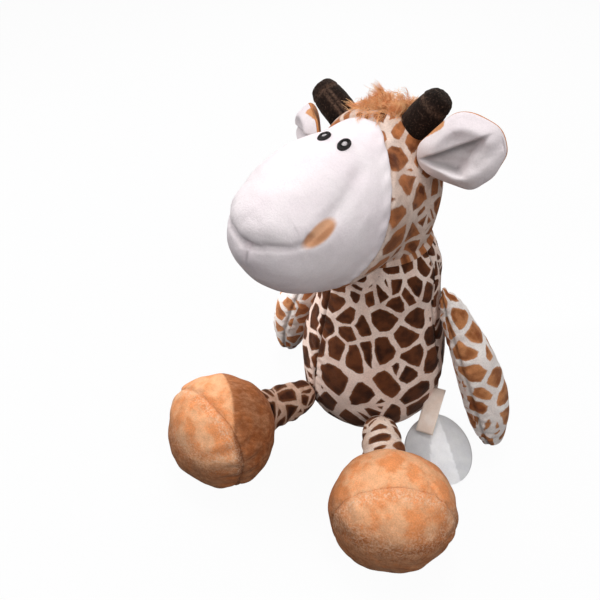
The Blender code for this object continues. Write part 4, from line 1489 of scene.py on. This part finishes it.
# satin stitches laid round an oval: each one bulges over the padding below it
def makeEye(side, sign):
    form = bmesh.new()
    inner, rows, around = eyes["innerShare"], eyes["rows"], eyes["stitches"] * 4
    for vert in bmesh.ops.create_circle(form, segments=around, radius=1.0)["verts"]:
        vert.co.x *= eyes["halfWidth"]
        vert.co.y *= eyes["halfLength"]
    ring = form.edges[:]
    for row in range(1, rows):
        grown = bmesh.ops.extrude_edge_only(form, edges=ring)["geom"]
        fresh = [item for item in grown if isinstance(item, bmesh.types.BMVert)]
        lines = [item for item in grown if isinstance(item, bmesh.types.BMEdge)]
        ring = [edge for edge in lines if edge.verts[0] in fresh and edge.verts[1] in fresh]
        share = row / (rows - 1)
        before = 1 - (1 - inner) * (row - 1) / (rows - 1)
        after = 1 - (1 - inner) * share
        for vert in fresh:
            vert.co.x *= after / before
            vert.co.y *= after / before
            vert.co.z = eyes["threadRadius"] * math.sin(math.pi * share)
    bmesh.ops.holes_fill(form, edges=ring, sides=0)
    outerRim = [edge for edge in form.edges if edge.is_boundary]
    for item in bmesh.ops.extrude_edge_only(form, edges=outerRim)["geom"]:
        if isinstance(item, bmesh.types.BMVert):
            item.co.z -= eyes["sunk"]
            item.co.x *= eyes["footShare"]
            item.co.y *= eyes["footShare"]
    bmesh.ops.holes_fill(form, edges=[edge for edge in form.edges if edge.is_boundary], sides=0)
    piece = newPiece("eye" + side.capitalize(), form)
    places = placesOf(piece)
    turn = np.arctan2(places[:, 1] / eyes["halfLength"], places[:, 0] / eyes["halfWidth"])
    raised = np.clip(places[:, 2] / eyes["threadRadius"], 0, 1)
    places[:, 2] += 0.00012 * raised * np.cos(turn * eyes["stitches"])
    movePlaces(piece, carried(places, eyeStand(sign)))
    piece.data.materials.append(blackThread)
    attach(piece, "head")
    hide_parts("eye_" + side)

    spot = bmesh.new()
    bmesh.ops.create_uvsphere(spot, u_segments=24, v_segments=12, radius=1)
    size = Matrix.Diagonal((eyes["halfWidth"] * 0.42, eyes["halfLength"] * 0.40, 0.0007, 1))
    bmesh.ops.transform(spot, matrix=Matrix.Translation((0, 0, 0.0001)) @ size, verts=spot.verts)
    bmesh.ops.transform(spot, matrix=eyeStand(sign), verts=spot.verts)
    glint = newPiece("eyeSpot" + side.capitalize(), spot, whiteThread)
    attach(glint, "head")


blackThread = clothFinish(
    "blackThread",
    pileLook(roughness=0.55, gloss=0.35, sheen=0.05, nap=0.0004, napHeight=0.00006, tuftHeight=0.0),
    plainPaint(paintOf(22, 18, 18), paintOf(34, 28, 27), 0.003),
)
whiteThread = clothFinish(
    "whiteThread",
    pileLook(
        roughness=0.6, gloss=0.3, sheen=0.1, nap=0.0004, napHeight=0.00008, napShade=0.3, tuftHeight=0.0
    ),
    plainPaint(paintOf(226, 220, 222), paintOf(170, 162, 164), 0.0012),
)
for eyeSide in (("left", 1), ("right", -1)):
    makeEye(*eyeSide)
stage("eyes stitched")

# mane: long orange pile in curling locks
mane = {
    "locks": 78,
    "strandsInLock": 36,
    "points": 7,
    "strandRadius": 0.00013,
    "spread": 0.0015,
    "gather": 0.38,
    "stray": 0.0008,
    "sag": 0.65,
    "halfWidth": 0.0108,
    "halfDepth": 0.0120,
    "aside": 0.0012,
    "forward": 0.0072,
    "foot": 0.1876,
    "roundness": 14.0,
    "length": 0.0116,
    # big locks that stand up: across, ahead, length and strands
    "peaks": ((0.0010, 0.0060, 0.0150, 60), (-0.0010, 0.0040, 0.0135, 50), (0.0070, 0.0085, 0.0150, 5)),
    "peakSag": 0.25,
    "peakSpread": 0.0012,
    "wispSpread": 0.0004,
    "wispBelow": 10,
}


def strandMesh(name, strands, radius, finish):
    curve = bpy.data.curves.new(name, "CURVE")
    curve.dimensions = "3D"
    curve.bevel_depth = radius
    curve.bevel_resolution = 0
    curve.use_fill_caps = True
    for strand in strands:
        spline = curve.splines.new("POLY")
        spline.points.add(len(strand) - 1)
        spline.points.foreach_set("co", [value for point in strand for value in (*point, 1.0)])
        last = len(strand) - 1
        spline.points.foreach_set("radius", [1.0 - 0.75 * (step / last) ** 2 for step in range(last + 1)])
    drawn = bpy.data.objects.new(name + "Lines", curve)
    bpy.context.scene.collection.objects.link(drawn)
    mesh = bpy.data.meshes.new_from_object(drawn.evaluated_get(bpy.context.evaluated_depsgraph_get()))
    bpy.data.objects.remove(drawn, do_unlink=True)
    form = bmesh.new()
    form.from_mesh(mesh)
    bpy.data.meshes.remove(mesh)
    return newPiece(name, form, finish)


# one curling lock: its strands start round the root and gather towards the lock's tip
def lockFrom(root, heading, length, count, look, draw):
    side = np.cross(heading, draw.normal(size=3))
    side /= np.linalg.norm(side)
    curl = draw.uniform(0.3, 1.3)
    steps = look["points"]
    path = [root]
    for step in range(1, steps):
        share = step / (steps - 1)
        sag = np.array((0, 0, look["sag"])) * share**2
        way = heading * (1 - 0.5 * share) + side * curl * share**1.3 - sag
        path.append(path[-1] + way / np.linalg.norm(way) * length / (steps - 1))
    path = np.array(path) - root
    shares = np.linspace(0, 1, steps)[:, None]
    strands = []
    for _ in range(count):
        start = draw.normal(size=3) * look["spread"] * (1 - look["gather"] * shares)
        drift = draw.normal(size=3) * look["stray"] * shares**2
        strands.append(root + path * draw.uniform(0.75, 1.08) + start + drift)
    return strands


def makeMane():
    draw = np.random.default_rng(11)

    def rootAt(across, ahead):
        fall = mane["roundness"] * (across**2 + (ahead - head["barrelForward"]) ** 2)
        return np.array((across, -ahead, mane["foot"] - fall))

    strands = []
    planted = 0
    while planted < mane["locks"]:
        across, ahead = draw.uniform(-1, 1, size=2)
        if across**2 + ahead**2 > 1:
            continue
        root = rootAt(mane["aside"] + across * mane["halfWidth"], mane["forward"] + ahead * mane["halfDepth"])
        heading = np.array((0.55 * across, -0.35 - 0.85 * ahead, 0.80 - 0.25 * abs(ahead)))
        heading /= np.linalg.norm(heading)
        length = mane["length"] * draw.uniform(0.75, 1.15) * (1 - 0.25 * across**2)
        strands += lockFrom(root, heading, length, mane["strandsInLock"], mane, draw)
        planted += 1
    for across, ahead, length, count in mane["peaks"]:
        spread = mane["peakSpread"] if count > mane["wispBelow"] else mane["wispSpread"]
        upright = {**mane, "sag": mane["peakSag"], "spread": spread}
        heading = np.array((0.12, -0.15, 0.98))
        strands += lockFrom(rootAt(across, ahead), heading, length, count, upright, draw)
    strands = [carried(strand, headPose()) for strand in strands]
    piece = strandMesh("maneLocks", strands, mane["strandRadius"], orangePile)
    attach(piece, "head")
    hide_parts("mane_tuft")


def pilePaint(tree, where):
    lock = grain(tree, where, 0.0045, 2, 0.5)
    strand = grain(tree, where, 0.0009, 2, 0.6)
    colour = mixed(tree, between(tree, lock, 0.32, 0.68), paintOf(255, 200, 142), paintOf(240, 158, 98))
    return mixed(tree, between(tree, strand, 0.45, 0.75, 0.0, 0.5), colour, paintOf(255, 230, 196))


orangePile = clothFinish(
    "orangePile",
    pileLook(sheen=0.2, sheenTint=(1.0, 0.8, 0.6, 1.0), roughness=0.7, napHeight=0.00003, tuftHeight=0.0),
    pilePaint,
)
makeMane()
stage("mane planted")

# tail and its tuft
tail = {
    "form": {
        "length": 0.0420,
        "halfWidth": 0.0045,
        "halfDepth": 0.0045,
        "fullness": 0.5,
        "segments": 20,
        "rings": 24,
    },
    "height": 0.0320,
    "drop": 24.0,
    "tuft": {
        "strandsInLock": 32,
        "points": 7,
        "spread": 0.0009,
        "gather": 0.50,
        "stray": 0.0012,
        "sag": 0.5,
        "length": 0.0175,
        "locks": 20,
        "strandRadius": 0.00015,
    },
}


def makeTail():
    rootAt = bellyRadiusAt(tail["height"]) + tail["form"]["halfWidth"] + seamGap
    root = Matrix.Translation((0, rootAt, tail["height"]))
    back = Matrix.Rotation(-quarterTurn - math.radians(tail["drop"]), 4, "X")
    stand = root @ back @ Matrix.Translation((0, 0, -tail["form"]["halfWidth"]))
    piece = newPiece("tailTube", stuffedForm(tail["form"]))
    subdivided(piece, 2)
    places, normals = placesOf(piece), normalsOf(piece)
    lift = 0.0002 * lumps(places, 0.007, 91) - 0.0004 * bump(places[:, 0], 0.0006) * (places[:, 1] < 0)
    movePlaces(piece, places + normals * lift[:, None])
    layCloth(piece, layRound(tail["form"]["halfWidth"], 0.9))
    carryPiece(piece, stand)
    piece.data.materials.append(legPrints["right"])
    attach(piece, "tail_and_tuft")
    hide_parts("tail")

    draw = np.random.default_rng(12)
    look = tail["tuft"]
    strands = []
    for _ in range(look["locks"]):
        turn = draw.uniform(0, math.tau)
        out = draw.uniform(0, 1) ** 0.5
        aside = np.array((math.cos(turn), math.sin(turn), 0.0))
        start = 0.0030 * out * aside + (0, 0, tail["form"]["length"] - 0.0015)
        ahead = stand.to_3x3() @ Vector(0.42 * out * aside + (0, 0, 1.0)).normalized()
        length = look["length"] * draw.uniform(0.7, 1.1)
        root = carried(start[None, :], stand)[0]
        strands += lockFrom(root, np.array(ahead), length, look["strandsInLock"], look, draw)
    for strand in strands:
        strand[:, 2] = np.maximum(strand[:, 2], look["strandRadius"] + 0.0004)
    tuft = strandMesh("tailLocks", strands, look["strandRadius"], orangePile)
    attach(tuft, "tail_and_tuft")
    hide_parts("tail_tuft")


makeTail()
stage("tail sewn")

# filling of the neck, which the head turns on
neckFilling = {"radius": 0.0300, "segments": 48, "rings": 24}


def makeNeckFilling():
    form = bmesh.new()
    segments, rings, radius = neckFilling["segments"], neckFilling["rings"], neckFilling["radius"]
    bmesh.ops.create_uvsphere(form, u_segments=segments, v_segments=rings, radius=radius)
    bmesh.ops.translate(form, verts=form.verts, vec=(0, 0, torso["pivotHeight"]))
    piece = newPiece("neckFilling", form)
    places, normals = placesOf(piece), normalsOf(piece)
    movePlaces(piece, places + normals * (0.0003 * lumps(places, 0.010, 95))[:, None])
    piece.data.materials.append(fibre)
    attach(piece, "neck")
    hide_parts("neck_stuffing")


fibre = clothFinish("fibreFilling", pileLook(), plainPaint(paintOf(240, 240, 236), paintOf(226, 226, 222)))
makeNeckFilling()
stage("neck filled")

# labels in the left side seam, both bare
labels = {
    "seamHeight": 0.0240,
    "sideSeamForward": 0.0030,
    "azimuth": 57.0,
    "slope": 25.0,
    "tabLength": 0.0100,
    "tabHalfWidth": 0.0025,
    "radius": 0.0205,
    "thickness": 0.0004,
    "apex": 0.0020,
    "rise": 0.0012,
    "standOff": 0.0008,
    "foldSoft": 0.0012,
    "foldShade": 0.55,
    "foldTurn": 11.0,
    "leftBend": 18.0,
    "rightBend": 22.0,
    "stripHalfWidth": 0.0050,
    "stripLength": 0.0275,
    "stripLift": 0.0100,
    "stripStepOut": 0.0020,
    "stripAzimuth": 84.0,
    "stripSlope": 36.0,
    "stripBend": 0.55,
}


def flatSheet(stationsAlong, halfWidthAt, rows):
    form = bmesh.new()
    bmesh.ops.create_grid(form, x_segments=len(stationsAlong) - 1, y_segments=rows, size=1)
    for vert in form.verts:
        step = round((vert.co.x + 1) / 2 * (len(stationsAlong) - 1))
        along = stationsAlong[step]
        vert.co = Vector((along, vert.co.y * halfWidthAt(along), 0))
    return form


def thickened(piece, thickness):
    wall = piece.modifiers.new("wall", "SOLIDIFY")
    wall.thickness = thickness
    wall.offset = 0
    applyModifiers(piece)


def makeRoundLabel():
    radius, tab = labels["radius"], labels["tabLength"]
    centre = tab + radius

    def halfWidthAt(along):
        inside = radius**2 - (along - centre) ** 2
        disc = math.sqrt(inside) if inside > 0 else 0.0
        return max(disc, labels["tabHalfWidth"] if along < centre else 0.0002)

    stations = [tab * step / 8 for step in range(8)]
    stations += [centre - radius * math.cos(math.pi * step / 60) for step in range(61)]
    piece = newPiece("roundLabel", flatSheet(stations, halfWidthAt, 40))
    places = placesOf(piece)
    shade = np.zeros(len(places))
    # two folds fan out from the tab, and the sides are bent down along them and get painted shade
    out, side = places[:, 0] - labels["apex"], places[:, 1]
    turn = np.arctan2(side, np.maximum(out, 1e-6))
    far = np.hypot(out, side)
    fold = math.radians(labels["foldTurn"])
    for sign, bend in ((1, labels["rightBend"]), (-1, labels["leftBend"])):
        beyond = (sign * turn > fold) & (out > 0)
        away = far * np.sin(np.abs(turn) - fold)
        ahead = far * np.cos(np.abs(turn) - fold)
        angle = math.radians(bend)
        soft = np.clip(away / labels["foldSoft"], 0, 1)
        x = labels["apex"] + ahead * math.cos(fold) - away * math.cos(angle) * math.sin(fold)
        y = sign * (ahead * math.sin(fold) + away * math.cos(angle) * math.cos(fold))
        z = -away * math.sin(angle) * soft
        places[beyond] = np.stack([x, y, z], axis=1)[beyond]
        shade[beyond] = labels["foldShade"]
    arch = np.sin(np.pi * np.clip((places[:, 0] - tab) / (2 * radius), 0, 1))
    places[:, 2] += labels["rise"] * arch + labels["standOff"]
    movePlaces(piece, places)
    marked(piece, "paintedShade", shade)
    stand = Matrix.Translation(labelSeam()) @ turned(-labels["azimuth"], "Z")
    stand = stand @ turned(labels["slope"], "Y")
    carryPiece(piece, stand)
    thickened(piece, labels["thickness"])
    piece.data.materials.append(satin)
    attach(piece, "label")
    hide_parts("round_label")


def labelSeam():
    height = labels["seamHeight"]
    return Vector((bellyRadiusAt(height) + seamGap, -labels["sideSeamForward"], height))


def makeCareStrip():
    length, step = labels["stripLength"], labels["stripStepOut"]
    stations = [length * share / 24 for share in range(25)]
    piece = newPiece("careStrip", flatSheet(stations, lambda along: labels["stripHalfWidth"], 10))
    places = placesOf(piece)
    # a long soft curve that keeps the strip's length
    bend = labels["stripBend"]
    angle = bend * (places[:, 0] / length - 0.5)
    radius = length / bend
    places[:, 2] = radius * (np.cos(angle) - math.cos(bend / 2)) + 0.0006 * np.sin(places[:, 1] / 0.0032)
    places[:, 0] = radius * (np.sin(angle) + math.sin(bend / 2))
    movePlaces(piece, places)
    stand = Matrix.Translation(labelSeam() + Vector((step, 0, labels["stripLift"])))
    stand = stand @ turned(-labels["stripAzimuth"], "Z")
    stand = stand @ turned(labels["stripSlope"], "Y")
    carryPiece(piece, stand)
    thickened(piece, labels["thickness"])
    piece.data.materials.append(peachSatin)
    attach(piece, "strip")
    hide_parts("care_strip")


def satinPaint(light, shade):
    def paint(tree, where):
        sockets = {"Vector": where, "Scale": 900.0, "Distortion": 1.0}
        threads = addNode(tree, "ShaderNodeTexWave", sockets, bands_direction="Z")
        colour = clouded(tree, where, 0.006, light, shade)
        return mixed(tree, maths(tree, "MULTIPLY", threads.outputs["Fac"], 0.12), colour, shade)

    return paint


labelLook = pileLook(
    roughness=0.5, gloss=0.4, sheen=0.05, nap=0.0006, napShade=0.05, napHeight=0.00002, tuftHeight=0.00004
)
satin = clothFinish("labelSatin", labelLook, satinPaint(paintOf(253, 253, 254), paintOf(246, 246, 249)))
peachSatin = clothFinish("peachSatin", labelLook, satinPaint(paintOf(252, 236, 224), paintOf(242, 220, 204)))
makeRoundLabel()
makeCareStrip()
stage("labels hung")
